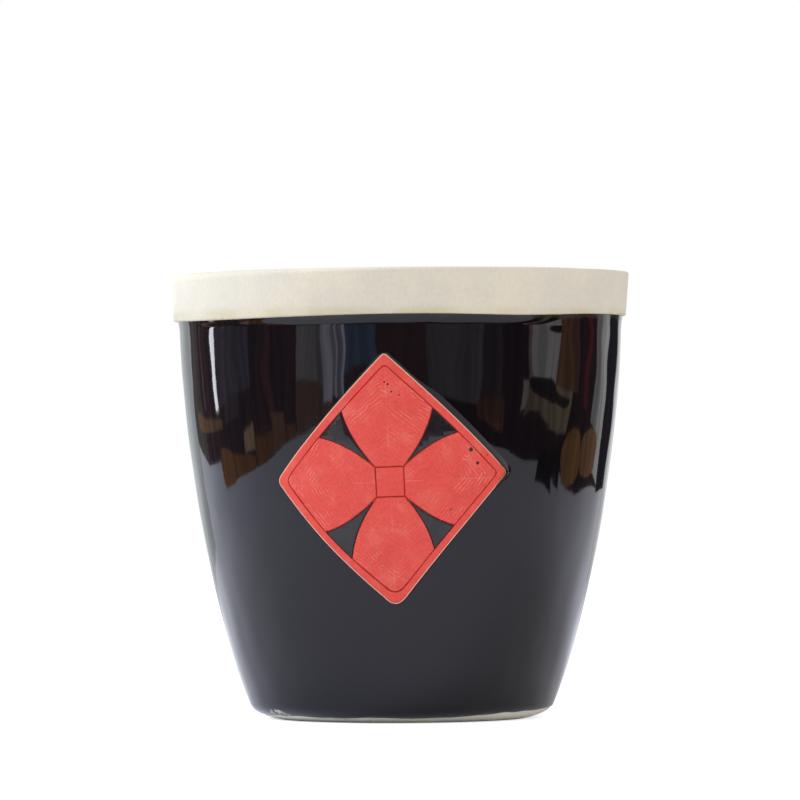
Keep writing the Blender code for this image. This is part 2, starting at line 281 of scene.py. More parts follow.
def between(tree, value, low, high, start=0.0, end=1.0):
    """start where a value is low, end where it is high, and smooth in the middle."""
    inputs = {"Value": value, "From Min": low, "From Max": high, "To Min": start, "To Max": end}
    return add(tree, "MapRange", inputs, interpolation_type="SMOOTHSTEP").outputs["Result"]


def mixed(tree, factor, first, second, blend="MIX"):
    """Two colours mixed by a factor. The Mix node keeps its colour sockets at 6 and 7."""
    node = add(tree, "Mix", {0: factor, 6: first, 7: second}, data_type="RGBA", blend_type=blend)
    return node.outputs[2]


def speckle(tree, vector, scale, detail=2.0, roughness=0.5):
    """Cloudy noise whose features are about one metre over scale across."""
    inputs = {"Vector": vector, "Scale": scale, "Detail": detail, "Roughness": roughness}
    return add(tree, "TexNoise", inputs).outputs["Fac"]


def split(tree, vector):
    """A vector's three parts."""
    return add(tree, "SeparateXYZ", {"Vector": vector}).outputs


def distance_to(tree, vector, place):
    """How far a point is from a fixed place."""
    return vector_sum(tree, "DISTANCE", vector, place)["Value"]


def place_on_jar(tree):
    """Where a point lies on its object, which is its place on the jar."""
    return add(tree, "TexCoord").outputs["Object"]


def scattered_spots(tree, vector, cells, size, rare, part=0):
    """1 in round spots and 0 between them. Cells are counted to a metre. Size gives where in a cell a spot's
    edge starts and ends. Rare gives how few of the cells have a spot, by one part of the cell's colour."""
    found = add(tree, "TexVoronoi", {"Vector": vector, "Scale": cells}).outputs
    near = between(tree, found["Distance"], *size, 1, 0)
    return times(tree, near, between(tree, split(tree, found["Color"])[part], *rare))


def rgba(red, green, blue):
    """A colour with full alpha, from the screen's 0 to 255 to the linear light that shaders use."""
    def linear(level):
        level /= 255
        return level / 12.92 if level <= 0.04045 else ((level + 0.055) / 1.055) ** 2.4

    return (linear(red), linear(green), linear(blue), 1.0)


print("screen grey 188 is linear", round(rgba(188, 188, 188)[0], 3))

# %% Helpers for groups and materials
def new_group(name, inputs, outputs):
    """An empty shader node group with named sockets."""
    tree = bpy.data.node_groups.new(name, "ShaderNodeTree")
    for kind, sockets in (("INPUT", inputs), ("OUTPUT", outputs)):
        for socket, sort in sockets:
            tree.interface.new_socket(socket, in_out=kind, socket_type="NodeSocket" + sort)
    into = tree.nodes.new("NodeGroupInput")
    out = tree.nodes.new("NodeGroupOutput")
    return tree, into.outputs, out.inputs


def use_group(tree, group, inputs):
    """Place a node group in a tree and set or link its inputs."""
    return add(tree, "Group", inputs, node_tree=group).outputs


def new_material(name, roughness, **constants):
    """A material, its tree and its Principled shader. Constants go on the shader's own sockets."""
    material = bpy.data.materials.new(name)
    material.use_nodes = True
    tree = material.node_tree
    shader = tree.nodes["Principled BSDF"]
    shader.inputs["Roughness"].default_value = roughness
    for socket, value in constants.items():
        shader.inputs[socket.replace("_", " ")].default_value = value
    return material, tree, shader


def dress(tree, shader, colour, height, depth):
    """Give a shader its colour, and a normal shaped by a height. A height of 1 is so many metres deep."""
    tree.links.new(colour, shader.inputs["Base Color"])
    node = add(tree, "Bump", {"Height": height, "Distance": depth, "Strength": 1.0})
    tree.links.new(node.outputs["Normal"], shader.inputs["Normal"])


# %% [markdown]
# ## Clay
#
# Bare stoneware is matt and close to one colour, but never quite: it clouds from warm to cool over a few
# centimetres, it has a sandy tooth, and specks of iron burn out as small dark dots. Rim, foot, body and the
# emblem's raised ground all show it, so it is a group that takes the clay's colour and gives back colour
# and height.

# %% Group: clay grain
CLAY_CLOUDS = 55
CLAY_TOOTH = 1100
IRON_CELLS = 420.0
IRON_SIZE = (0.05, 0.16)
IRON_RARE = (0.86, 0.90)
IRON_BROWN = rgba(120, 98, 74)
IRON_DENT = 0.5


def clay_grain_group():
    """Clouding, sandy tooth and iron specks for bare clay."""
    takes = ("Vector", "Vector"), ("Colour", "Color"), ("Specks", "Float")
    tree, into, out = new_group("clay_grain", takes, (("Colour", "Color"), ("Height", "Float")))
    clouds = speckle(tree, into["Vector"], CLAY_CLOUDS, 3)
    tooth = speckle(tree, into["Vector"], CLAY_TOOTH, 4, 0.6)
    warm = mixed(tree, between(tree, clouds, 0.40, 0.62), rgba(247, 246, 242), rgba(255, 252, 243))
    clouded = mixed(tree, 1.0, into["Colour"], warm, "MULTIPLY")
    sandy = mixed(tree, between(tree, tooth, 0.36, 0.64), rgba(250, 249, 247), rgba(255, 255, 255))
    grained = mixed(tree, 1.0, clouded, sandy, "MULTIPLY")
    spots = scattered_spots(tree, into["Vector"], IRON_CELLS, IRON_SIZE, IRON_RARE)
    spots = times(tree, spots, into["Specks"], clamp=True)
    tree.links.new(mixed(tree, spots, grained, IRON_BROWN), out["Colour"])
    tree.links.new(sum_of(tree, "SUBTRACT", tooth, times(tree, spots, IRON_DENT)), out["Height"])
    return tree


clay_grain = clay_grain_group()
print("group:", clay_grain.name, "with", len(clay_grain.nodes), "nodes")

# %% Materials: the rim's clay and plain clay
SPONGED_CLAY = rgba(221, 213, 200)
STAINED_CLAY = rgba(209, 199, 173)
STAIN_FROM = RIM_BASE_Z + 0.0004
STAIN_TO = RIM_BASE_Z + 0.0026
STAIN_CLOUDS = 90
SPONGED_DEPTH = 0.00002
CLAY_DEPTH = 0.00007


def rim_clay_material():
    """Cream clay, a little yellower where the glaze below has stained its lower edge."""
    material, tree, shader = new_material("rim_clay", roughness=0.62)
    vector = place_on_jar(tree)
    low_edge = between(tree, split(tree, vector)["Z"], STAIN_FROM, STAIN_TO, 1, 0)
    wander = between(tree, speckle(tree, vector, STAIN_CLOUDS, 3), 0.35, 0.65, 0.35, 1)
    colour = mixed(tree, times(tree, low_edge, wander), SPONGED_CLAY, STAINED_CLAY)
    grain = use_group(tree, clay_grain, {"Vector": vector, "Colour": colour, "Specks": 0.10})
    dress(tree, shader, grain["Colour"], grain["Height"], SPONGED_DEPTH)
    return material


def plain_clay_material(name, colour, specks):
    """Bare clay of one colour."""
    material, tree, shader = new_material(name, roughness=0.80)
    grain = use_group(tree, clay_grain, {"Vector": place_on_jar(tree), "Colour": colour, "Specks": specks})
    dress(tree, shader, grain["Colour"], grain["Height"], CLAY_DEPTH)
    return material


rim_clay = rim_clay_material()
# Painted light: the foot's clay is given a colour far paler than the rim's same clay, to make up for the
# shade at the foot.
foot_clay = plain_clay_material("foot_clay", rgba(252, 250, 243), 0.2)
body_clay = plain_clay_material("body_clay", rgba(206, 199, 182), 1.0)
pad_clay = plain_clay_material("pad_clay", rgba(236, 176, 156), 0.2)
print("clay materials: 4")

# %% [markdown]
# ## The rim
#
# The rim is a thick collar of the same clay, left bare. Its edges were wiped with a wet sponge before
# firing, so they are round, most of all on the left, and its top wanders by a few tenths of a millimetre.
# It is also a little out of round, and its lower edge dips twice. Spinning a true profile and then moving
# its points by small functions keeps all of that apart and easy to change. The coat below shares the dips,
# so that no gap opens.

# %% Rim band
RIM_TAPER = 0.0002
RIM_OUTER_ROUND = 0.0012
RIM_INNER_ROUND = 0.0012
RIM_LOW_ROUND = 0.0005
RIM_ROUND_STEPS = 8
RIM_UNEVENNESS = 0.00016
RIM_WAVE_LENGTH = 0.0180
RIM_SLACK = 0.00025
RIM_LEAN = 0.0006
RIM_TILT = 0.00040
LOW_EDGE_TILT = 0.00080
CRISP_SHARE = 0.35
WORN_SHARE = 2.0
RIM_DIPS = (
    # turn from the front, width in turn, depth
    (math.radians(32), math.radians(19), 0.00058),
    (math.radians(-54), math.radians(38), 0.00072),
)
MOUTH_RADIUS = wall_radius(RIM_BASE_Z) - WALL_THICKNESS


def rim_dip(angle):
    """How far the collar's lower edge dips at a turn from the front."""
    dips = sum(depth * math.exp(-((angle - turn) / width) ** 2) for turn, width, depth in RIM_DIPS)
    return dips - LOW_EDGE_TILT * math.sin(angle) / 2


def shape_rim(vert):
    """Put one point of the true collar where the fired one has it."""
    angle = turn_of(vert.co)
    left_share = (1 - math.sin(angle)) / 2
    radius = math.hypot(vert.co.x, vert.co.y)
    corner = min(radius - RIM_RADIUS, vert.co.z - HEIGHT) > -RIM_OUTER_ROUND - MERGE_DISTANCE
    if corner:
        wear = CRISP_SHARE + (WORN_SHARE - CRISP_SHARE) * left_share ** 2
        vert.co.z = HEIGHT + (vert.co.z - HEIGHT) * wear
        vert.co.xy *= (RIM_RADIUS + (radius - RIM_RADIUS) * wear) / radius
    rise = (vert.co.z - RIM_BASE_Z) / (HEIGHT - RIM_BASE_Z)
    inward = RIM_SLACK * left_share + RIM_LEAN * (1 - left_share) * (1 - rise)
    vert.co.xy *= 1 - inward / RIM_RADIUS
    wave = (1 + noise.noise(vert.co / RIM_WAVE_LENGTH)) / 2
    lowered = (RIM_UNEVENNESS * wave + RIM_TILT * left_share ** 2) * rise
    vert.co.z -= lowered + rim_dip(angle) * (1 - rise) ** 2


def make_rim_band():
    """The bare collar round the mouth."""
    low_outer = RIM_RADIUS - RIM_TAPER
    profile = [(MOUTH_RADIUS, RIM_BASE_Z)]
    profile += arc(low_outer - RIM_LOW_ROUND, RIM_BASE_Z + RIM_LOW_ROUND, RIM_LOW_ROUND, -90, 0)
    profile += arc(RIM_RADIUS - RIM_OUTER_ROUND, HEIGHT - RIM_OUTER_ROUND, RIM_OUTER_ROUND, 0, 90,
                   RIM_ROUND_STEPS)
    profile += arc(MOUTH_RADIUS + RIM_INNER_ROUND, HEIGHT - RIM_INNER_ROUND, RIM_INNER_ROUND, 90, 180,
                   RIM_ROUND_STEPS)
    bm = turned(profile)
    for vert in bm.verts:
        shape_rim(vert)
    return keep("rim_collar", bm, "bare_clay", [rim_clay], "rim_band")


make_rim_band()

# %% [markdown]
# ## Black glaze
#
# The glaze is a thin black glass. Almost all that is seen of it is reflection, so its own colour is close
# to nothing and its surface is smooth. Where it runs thin it turns brown, in a line along the rim and a
# fringe above the foot, and near the foot it has skipped off the clay in a few chips.

# %% Group: glaze skin
PEEL = 260
GLAZE_HOLE_CELLS = 110.0
GLAZE_HOLE_SIZE = (0.012, 0.03)
GLAZE_HOLE_RARE = (0.80, 0.84)


def glaze_skin_group():
    """The faint peel of a fired glaze and its few pinholes."""
    tree, into, out = new_group("glaze_skin", (("Vector", "Vector"),), (("Height", "Float"),))
    peel = speckle(tree, into["Vector"], PEEL, 2)
    holes = scattered_spots(tree, into["Vector"], GLAZE_HOLE_CELLS, GLAZE_HOLE_SIZE, GLAZE_HOLE_RARE, part=1)
    tree.links.new(sum_of(tree, "SUBTRACT", peel, holes), out["Height"])
    return tree


glaze_skin = glaze_skin_group()
print("group:", glaze_skin.name, "with", len(glaze_skin.nodes), "nodes")

# %% Material: black glaze
CHIP_TURN = math.radians(-57)
CHIP_HEIGHT = 0.0017
CHIP_SPREAD = 0.0075
CHIP_FLATNESS = 2.5
CHIP_CRUMBS = 620
CHIP_HELP = 0.26
CHIP_EDGE = (0.755, 0.775)
CHIP_FADE = (0.0040, 0.0052)
CHIP_ROUGHNESS = 0.6
CHIP_SINK = 12.0
CHIP_CLAY = rgba(190, 186, 172)
BROWN_LINE_HEIGHT = 0.0007
BROWN_FRINGE_TOP = 0.0016
BROWN_CLOUDS = 130
BROWN_WANDER = 0.004
GLAZE_BLACK = rgba(8, 6, 8)
FRINGE_BROWN = rgba(26, 18, 14)
LINE_BROWN = rgba(44, 36, 32)
GLAZE_ROUGHNESS = 0.045
THIN_ROUGHNESS = 0.10
PEEL_DEPTH = 0.000008
chip_centre = Vector((outer_radius(CHIP_HEIGHT) * math.sin(CHIP_TURN),
                      -outer_radius(CHIP_HEIGHT) * math.cos(CHIP_TURN), CHIP_FLATNESS * CHIP_HEIGHT))


def black_glaze_material():
    """Black glass, brown where it is thin, with a few chips down to the clay near the foot."""
    material, tree, shader = new_material("black_glaze", GLAZE_ROUGHNESS, IOR=1.44,
                                          Specular_Tint=(0.94, 0.95, 1.0, 1.0))
    vector = place_on_jar(tree)
    height = split(tree, vector)["Z"]
    clouds = sum_of(tree, "SUBTRACT", speckle(tree, vector, BROWN_CLOUDS, 3), 0.5)
    shaken_height = sum_of(tree, "ADD", height, times(tree, clouds, BROWN_WANDER))
    thin_top = between(tree, shaken_height, RIM_BASE_Z - 2 * BROWN_LINE_HEIGHT, RIM_BASE_Z)
    thin_foot = between(tree, shaken_height, COAT_BASE_Z, BROWN_FRINGE_TOP, 1, 0)
    glass = mixed(tree, thin_top, mixed(tree, thin_foot, GLAZE_BLACK, FRINGE_BROWN), LINE_BROWN)
    flat = vector_sum(tree, "MULTIPLY", vector, (1, 1, CHIP_FLATNESS))[0]
    here = between(tree, distance_to(tree, flat, chip_centre), CHIP_SPREAD / 3, CHIP_SPREAD, CHIP_HELP, 0)
    crumbs = sum_of(tree, "ADD", speckle(tree, vector, CHIP_CRUMBS, 3, 0.6), here)
    chips = times(tree, between(tree, crumbs, *CHIP_EDGE), between(tree, height, *CHIP_FADE, 1, 0))
    thin = sum_of(tree, "MAXIMUM", thin_top, thin_foot)
    dull = sum_of(tree, "ADD", times(tree, thin, THIN_ROUGHNESS), times(tree, chips, CHIP_ROUGHNESS))
    tree.links.new(sum_of(tree, "ADD", dull, GLAZE_ROUGHNESS, clamp=True), shader.inputs["Roughness"])
    skin = use_group(tree, glaze_skin, {"Vector": vector})["Height"]
    sunk = sum_of(tree, "SUBTRACT", skin, times(tree, chips, CHIP_SINK))
    dress(tree, shader, mixed(tree, chips, glass, CHIP_CLAY), sunk, PEEL_DEPTH)
    return material


black_glaze = black_glaze_material()
print("material:", black_glaze.name)

# %% [markdown]
# ## The coat
#
# The coat is a thin shell with a real thickness, because its lower edge shows as a step above the bare
# foot. The dipped edge isn't level: it wanders by half a millimetre, and the mesh carries that wander,
# fading it out a few millimetres up.

# %% Black coat
COAT_ROWS = 96
ROLL_ROWS = 8
FLARE_ROWS = 14
INNER_ROWS = 24
EDGE_STEPS = 4
EDGE_WANDER = 0.00025
EDGE_LOW = 0.00060
EDGE_RISES = (
    # turns from the front between which the edge rises, and the rise
    (math.radians(18), math.radians(46), 0.00095),
    (math.radians(40), math.radians(80), 0.00065),
    (math.radians(110), math.radians(179), -0.00160),
)
EDGE_WANDER_FADE = 0.0060
EDGE_WAVE_LENGTH = 0.0050
EDGE_ROUND = 0.00025
EDGE_BEAD = 0.00010
DIP_FADE = 0.0040
FLARE_EASE = 0.50
FLARE_EASES_FROM = math.radians(24)
FLARE_EASES_TO = math.radians(44)
SEAM = 0.00002


def edge_wander(angle):
    """How far the coat's lower edge runs up or down at a turn from the front. It rises on the right."""
    around = Vector((math.sin(angle), math.cos(angle), 0)) * CONTACT_RADIUS / EDGE_WAVE_LENGTH
    raised = sum(rise * share_between(angle, *turns) for *turns, rise in EDGE_RISES)
    return EDGE_WANDER * noise.noise(around) + raised - EDGE_LOW


def shape_coat(vert):
    """Give one point of the true coat its ripple, its wandering lower edge and the rim's dips."""
    angle, z = turn_of(vert.co), vert.co.z
    radius = math.hypot(vert.co.x, vert.co.y)
    depth = outer_radius(z) - radius
    near_edge = 1 - share_between(z, COAT_BASE_Z, EDGE_WANDER_FADE)
    wander = edge_wander(angle) * near_edge
    dip = rim_dip(angle) * share_between(z, RIM_BASE_Z - DIP_FADE, RIM_BASE_Z)
    raised = ripple(angle, z) + EDGE_BEAD * near_edge ** 4 if depth < GLAZE_THICKNESS / 2 else 0
    eased = FLARE_EASE * flare(z) * share_between(abs(angle), FLARE_EASES_FROM, FLARE_EASES_TO)
    vert.co.xy *= (outer_radius(z + wander) - depth + raised - eased) / radius
    vert.co.z = z + wander - dip


def make_coat():
    """The black coat: an outer skin with ripples, a round lower edge, and an inner skin against the clay."""
    top = RIM_BASE_Z - SEAM
    flare_base = RIM_BASE_Z - FLARE_HEIGHT
    heights = spread(COAT_BASE_Z, ROLL_HEIGHT, ROLL_ROWS) + spread(ROLL_HEIGHT, flare_base, COAT_ROWS)[1:]
    heights += spread(flare_base, top, FLARE_ROWS)[1:]
    outside = [(outer_radius(z), z) for z in heights[1:]]
    low_edge = arc(outer_radius(COAT_BASE_Z) - EDGE_ROUND, COAT_BASE_Z + EDGE_ROUND, EDGE_ROUND, -90, 0,
                   EDGE_STEPS)
    inside = [(outer_radius(z) - GLAZE_THICKNESS, z) for z in spread(top, COAT_BASE_Z, INNER_ROWS)]
    bm = turned(low_edge + outside[1:] + inside)
    for vert in bm.verts:
        shape_coat(vert)
    return bm


coat_mesh = make_coat()
print("coat:", len(coat_mesh.verts), "points")

# %% [markdown]
# ## The diamond, drawn flat
#
# The emblem is a diamond lying on the curved wall. It is far easier to draw it flat and wrap it afterwards:
# x runs along the wall, z runs up, and -y is height above the glaze. Its corners are rounded as soft clay
# is, one edge swells, and the whole was set a little askew, all of which a hand-made piece keeps.

# %% The diamond's outline
EMBLEM_HALF_WIDTH = 0.0298
EMBLEM_HALF_HEIGHT = 0.0321
EMBLEM_DROP = 0.0417
EMBLEM_ALONG_WALL = -0.0027
EMBLEM_TURN = math.radians(2.1)
SIDE_CORNER_RISE = 0.0012
EDGE_BULGES = (0, 0, 0.0014, 0)
CORNER_RUNS = (0.0012, 0.0012, 0.0046, 0.0022)
CORNER_STEPS = 14
SIDE_STEPS = 36
EMBLEM_CENTRE_Z = RIM_BASE_Z - EMBLEM_DROP


def diamond_corners(inset):
    """The diamond's four corners, clockwise from the top, with every edge moved in by inset."""
    edge = math.hypot(EMBLEM_HALF_WIDTH, EMBLEM_HALF_HEIGHT)
    size = 1 - inset * edge / (EMBLEM_HALF_WIDTH * EMBLEM_HALF_HEIGHT)
    lengths = EMBLEM_HALF_WIDTH, EMBLEM_HALF_HEIGHT, SIDE_CORNER_RISE
    wide, tall, rise = (length * size for length in lengths)
    return [(0, tall), (wide, rise), (0, -tall), (-wide, rise)]


def toward(a, b, distance):
    """The point at a distance from a on the way to b."""
    share = distance / math.dist(a, b)
    return (a[0] + (b[0] - a[0]) * share, a[1] + (b[1] - a[1]) * share)


def outward(a, b):
    """Unit direction out of a clockwise outline, square to the line from a to b."""
    length = math.dist(a, b)
    return ((a[1] - b[1]) / length, (b[0] - a[0]) / length)


def bend(a, b, c, steps):
    """A curve from a to c that is pulled towards b."""
    points = []
    for t in spread(0, 1, steps):
        weights = ((1 - t) ** 2, 2 * t * (1 - t), t ** 2)
        points.append(tuple(sum(w * p[i] for w, p in zip(weights, (a, b, c))) for i in (0, 1)))
    return points


def diamond_outline(inset):
    """Rounded corners joined by edges, one of which swells outwards, clockwise from the top."""
    corners = diamond_corners(inset)
    outline = []
    for i, corner in enumerate(corners):
        before, after, run = corners[i - 1], corners[(i + 1) % 4], CORNER_RUNS[i]
        outline += bend(toward(corner, before, run), corner, toward(corner, after, run), CORNER_STEPS)
        start, end = outline[-1], toward(after, corner, CORNER_RUNS[(i + 1) % 4])
        out = outward(start, end)
        for t in spread(0, 1, SIDE_STEPS)[1:-1]:
            swell = EDGE_BULGES[i] * 4 * t * (1 - t)
            outline.append(tuple(start[k] + (end[k] - start[k]) * t + out[k] * swell for k in (0, 1)))
    return outline


def moved_out(outline, distance):
    """An outline with each point moved out by a distance, square to the outline there."""
    moved = []
    for i, point in enumerate(outline):
        out = outward(outline[i - 1], outline[(i + 1) % len(outline)])
        moved.append((point[0] + out[0] * distance, point[1] + out[1] * distance))
    return moved


diamond = diamond_outline(0)
print("diamond outline:", len(diamond), "points")

# %% [markdown]
# ## Wrapping a flat piece
#
# A flat face with a few corners would cut straight through the curved wall. So each piece is first cut by a
# lattice of planes, fine enough that every small face may stay flat, and only then is each point moved to
# its place on the wall. Before that, its flat place is noted as a UV map, in centimetres, for patterns that
# have to follow the piece.

# %% Wrapping
WRAP_STEP = 0.0012
CENTIMETRES = 100
ROUND_STEPS = 4


def cut_fine(bm):
    """Cut a flat piece along a lattice, so that it can follow the wall."""
    for axis, reach in ((0, EMBLEM_HALF_WIDTH), (2, EMBLEM_HALF_HEIGHT)):
        cuts = math.ceil(reach / WRAP_STEP)
        normal = [0, 0, 0]
        normal[axis] = 1
        for i in range(-cuts, cuts + 1):
            place = [0, 0, 0]
            place[axis] = i * WRAP_STEP
            bmesh.ops.bisect_plane(bm, geom=bm.verts[:] + bm.edges[:] + bm.faces[:],
                                   dist=MERGE_DISTANCE, plane_co=place, plane_no=normal)
    bmesh.ops.triangulate(bm, faces=bm.faces[:])


def note_flat_place(bm, along=(0, 1)):
    """Keep each corner's flat place as UV: across the direction `along`, and along it."""
    layer = bm.loops.layers.uv.new("flat")
    for face in bm.faces:
        for loop in face.loops:
            x, z = loop.vert.co.x * CENTIMETRES, loop.vert.co.z * CENTIMETRES
            loop[layer].uv = (x * along[1] - z * along[0], x * along[0] + z * along[1])


def on_wall(x, z, lift):
    """Where a place on the flat emblem lies on the jar, at a height above the glaze."""
    cos, sin = math.cos(EMBLEM_TURN), math.sin(EMBLEM_TURN)
    height = x * sin + z * cos + EMBLEM_CENTRE_Z
    angle = (x * cos - z * sin + EMBLEM_ALONG_WALL) / outer_radius(EMBLEM_CENTRE_Z)
    radius = outer_radius(height) + ripple(angle, height) + lift
    return Vector((radius * math.sin(angle), -radius * math.cos(angle), height))


def wrap(bm):
    """Move each point of a flat piece to its place on the wall."""
    for vert in bm.verts:
        vert.co = on_wall(vert.co.x, vert.co.z, -vert.co.y)
    bmesh.ops.recalc_face_normals(bm, faces=bm.faces[:])


def flat_face(bm, outline):
    """One flat face from an outline."""
    face = bm.faces.new([bm.verts.new((x, 0, z)) for x, z in outline])
    face.normal_update()
    return face


def draw_in(bm, faces, thickness):
    """Draw faces in from their common edge by an even width."""
    return bmesh.ops.inset_region(bm, faces=faces, thickness=thickness, use_boundary=True,
                                  use_even_offset=True)


def raise_faces(bm, faces, low, high, edge):
    """Make flat faces a slab between two heights above the glaze, its upper edges rounded."""
    for vert in bm.verts:
        vert.co.y = -low
    grown = bmesh.ops.extrude_face_region(bm, geom=faces, use_keep_orig=True)
    top = [item for item in grown["geom"] if isinstance(item, bmesh.types.BMFace)]
    turns = spread(0, math.pi / 2, ROUND_STEPS)
    for before, turn in zip([None] + turns, turns):
        if before is not None:
            draw_in(bm, top, edge * (math.cos(before) - math.cos(turn)))
        for vert in {vert for face in top for vert in face.verts}:
            vert.co.y = -(high - edge * (1 - math.sin(turn)))


print("a wrapped piece is cut every", WRAP_STEP * 1000, "mm")

# %% [markdown]
# ## The window in the coat
#
# The clay diamond comes through an opening in the glaze. A Boolean cuts it, with a cutter wrapped on the
# same wall, and its result is taken at once, so no modifier and no cutter are left.

# %% Cut the window
SEAT_GAP = 0.0003
CUT_OVERRUN = 0.0010

window = bmesh.new()
window_face = flat_face(window, moved_out(diamond, SEAT_GAP))
raise_faces(window, [window_face], -GLAZE_THICKNESS - CUT_OVERRUN, CUT_OVERRUN, SEAT_GAP)
cut_fine(window)
wrap(window)
window_cutter = object_from("window_cutter", window)

glaze_coat = keep("black_coat", coat_mesh, "black_glaze", [black_glaze], "black_glaze_coat")
opening = glaze_coat.modifiers.new("opening", "BOOLEAN")
opening.operation = "DIFFERENCE"
opening.object = window_cutter
bpy.context.view_layer.update()
cut_coat = bpy.data.meshes.new_from_object(glaze_coat.evaluated_get(bpy.context.evaluated_depsgraph_get()))
glaze_coat.modifiers.clear()
glaze_coat.data = cut_coat
bpy.data.objects.remove(window_cutter, do_unlink=True)
print("coat with its window:", len(cut_coat.polygons), "faces")

# %% [markdown]
# ## The lip of glaze round the diamond
#
# Melted glaze climbs the sides of the raised diamond and freezes as a sloping lip. Rings of the diamond's
# outline, each further out and lower than the last, are bridged into one smooth slope that ends just under
# the coat's surface. The lip is a mere line on three sides. Along the upper right edge it is wide and shows
# as a grey bevel, and a steep dark drop has set below the right corner.

# %% Glaze lip
LIP_TOP = 0.00062
LIP_TOP_THIN = 0.00030
LIP_CREST = 0.00012
LIP_START = SEAT_GAP / 6
LIP_REACH = 0.0015
LIP_REACH_THIN = 0.00035
LIP_WIDENS_FROM = 0.0060
LIP_WIDENS_TO = 0.0130
LIP_WIDE_ABOVE = (-0.0005, 0.0015)
LIP_SINK = 0.00004
LIP_STEPS = 12
LIP_GROWS_TO = 0.0240
LIP_GROWTH = 0.00038
DROP_PLACE = (0.0280, -0.0004)
DROP_SPREAD = 0.0028
DROP_TOP = 0.00130
DROP_REACH = 0.00060


def lip_size(point):
    """How high and how wide the lip is at a place on the outline."""
    x, z = point
    bevel = share_between(x, LIP_WIDENS_FROM, LIP_WIDENS_TO) * share_between(z, *LIP_WIDE_ABOVE)
    drop = math.exp(-(math.dist(point, DROP_PLACE) / DROP_SPREAD) ** 2)
    grown = LIP_GROWTH * share_between(x, LIP_WIDENS_TO, LIP_GROWS_TO)
    top = LIP_TOP_THIN + (LIP_TOP + grown - LIP_TOP_THIN) * bevel + DROP_TOP * drop
    return top, LIP_REACH_THIN + (LIP_REACH - LIP_REACH_THIN) * bevel + DROP_REACH * drop


def make_lip():
    """The glaze lip, as rings of the diamond's outline bridged one to the next."""
    bm = bmesh.new()
    foot, far = moved_out(diamond, LIP_START), moved_out(diamond, LIP_START + LIP_REACH)
    crest_share = LIP_CREST / LIP_REACH
    rings = []
    for t in [None, 0] + spread(0, 1, LIP_STEPS)[1:]:
        points = []
        for near, away in zip(foot, far):
            top, reach = lip_size(near)
            along = 0 if t is None else crest_share * min(1, 4 * t) + reach / LIP_REACH * t
            rise = -GLAZE_THICKNESS if t is None else top * (1 - t) - LIP_SINK * t
            x, z = (near[k] + (away[k] - near[k]) * along for k in (0, 1))
            points.append((x, -rise, z))
        rings.append(closed_ring(bm, points))
    for inner, outer in zip(rings, rings[1:]):
        bmesh.ops.bridge_loops(bm, edges=inner + outer)
    wrap(bm)
    return keep("glaze_lip", bm, "black_glaze", [black_glaze])


make_lip()

# %% [markdown]
# ## Foot ring
#
# Under the coat's edge a strip of bare clay shows, wiped clean so that the jar didn't stick to the kiln
# shelf. Its lowest part is as wide as the wall. Above that it steps back under the glaze, whose wandering
# edge stands proud of it.

# %% Foot ring
CONTACT_WIDTH = 0.0050
RECESS_SLOPE = 0.0008
BARE_FOOT_HEIGHT = 0.0024
FOOT_STEP_BACK = 0.00030
FOOT_EDGE_ROUND = 0.00015
FOOT_EDGE_END = 340
FOOT_STEPS = 4


def make_foot_ring():
    """The bare ring that touches the table."""
    inner_radius = CONTACT_RADIUS - CONTACT_WIDTH
    profile = [(inner_radius - RECESS_SLOPE, FOOT_RING_HEIGHT)]
    profile += arc(inner_radius + FOOT_EDGE_ROUND, FOOT_EDGE_ROUND, FOOT_EDGE_ROUND, 180, 270, FOOT_STEPS)
    profile += arc(CONTACT_RADIUS - FOOT_EDGE_ROUND, FOOT_EDGE_ROUND, FOOT_EDGE_ROUND, 270, FOOT_EDGE_END,
                   FOOT_STEPS)
    bare = spread(2 * FOOT_EDGE_ROUND, BARE_FOOT_HEIGHT, FOOT_STEPS)
    profile += [(outer_radius(z) - SEAM, z) for z in bare]
    hidden = spread(BARE_FOOT_HEIGHT + FOOT_STEP_BACK, FOOT_RING_HEIGHT, FOOT_STEPS)
    profile += [(outer_radius(z) - FOOT_STEP_BACK - SEAM, z) for z in hidden]
    return keep("foot", turned(profile), "bare_clay", [foot_clay], "foot_ring")


make_foot_ring()

# %% [markdown]
# ## The lining
#
# Inside, the jar has a clear glaze over the pale clay. The photo doesn't show it, so this is the plain
# finish that such a jar has: cream, glossy, with soft rings left by turning.

# %% Material and mesh: lining
INNER_CORNER_RADIUS = 0.0080
TURNING_RING_PITCH = 0.0060
TURNING_RING_SHARE = 3.0
LINING_ROWS = 40
INNER_CORNER_STEPS = 12
LINING_CREAM = rgba(205, 194, 170)
LINING_DEPTH = 0.000010


def lining_material():
    """Clear glaze over cream clay, with faint rings from turning."""
    material, tree, shader = new_material("lining_glaze", roughness=0.10, IOR=1.5)
    vector = place_on_jar(tree)
    grain = use_group(tree, clay_grain, {"Vector": vector, "Colour": LINING_CREAM, "Specks": 0.8})
    skin = use_group(tree, glaze_skin, {"Vector": vector})
    rings = sum_of(tree, "SINE", times(tree, split(tree, vector)["Z"], math.tau / TURNING_RING_PITCH))
    height = sum_of(tree, "ADD", times(tree, rings, TURNING_RING_SHARE), skin["Height"])
    dress(tree, shader, grain["Colour"], height, LINING_DEPTH)
    return material


def inside_profile(offset, top):
    """The hollow's outline from its top edge to the middle of the floor, moved into the clay by offset."""
    floor = FLOOR_TOP + LINING_THICKNESS - offset
    corner = INNER_CORNER_RADIUS + offset
    points = [(wall_radius(z) - WALL_THICKNESS + offset, z) for z in spread(top, floor + corner, LINING_ROWS)]
    for turn in spread(0, math.pi / 2, INNER_CORNER_STEPS)[1:]:
        z = floor + corner * (1 - math.sin(turn))
        points.append((wall_radius(z) - WALL_THICKNESS + offset - corner * (1 - math.cos(turn)), z))
    return points + [(0, floor)]


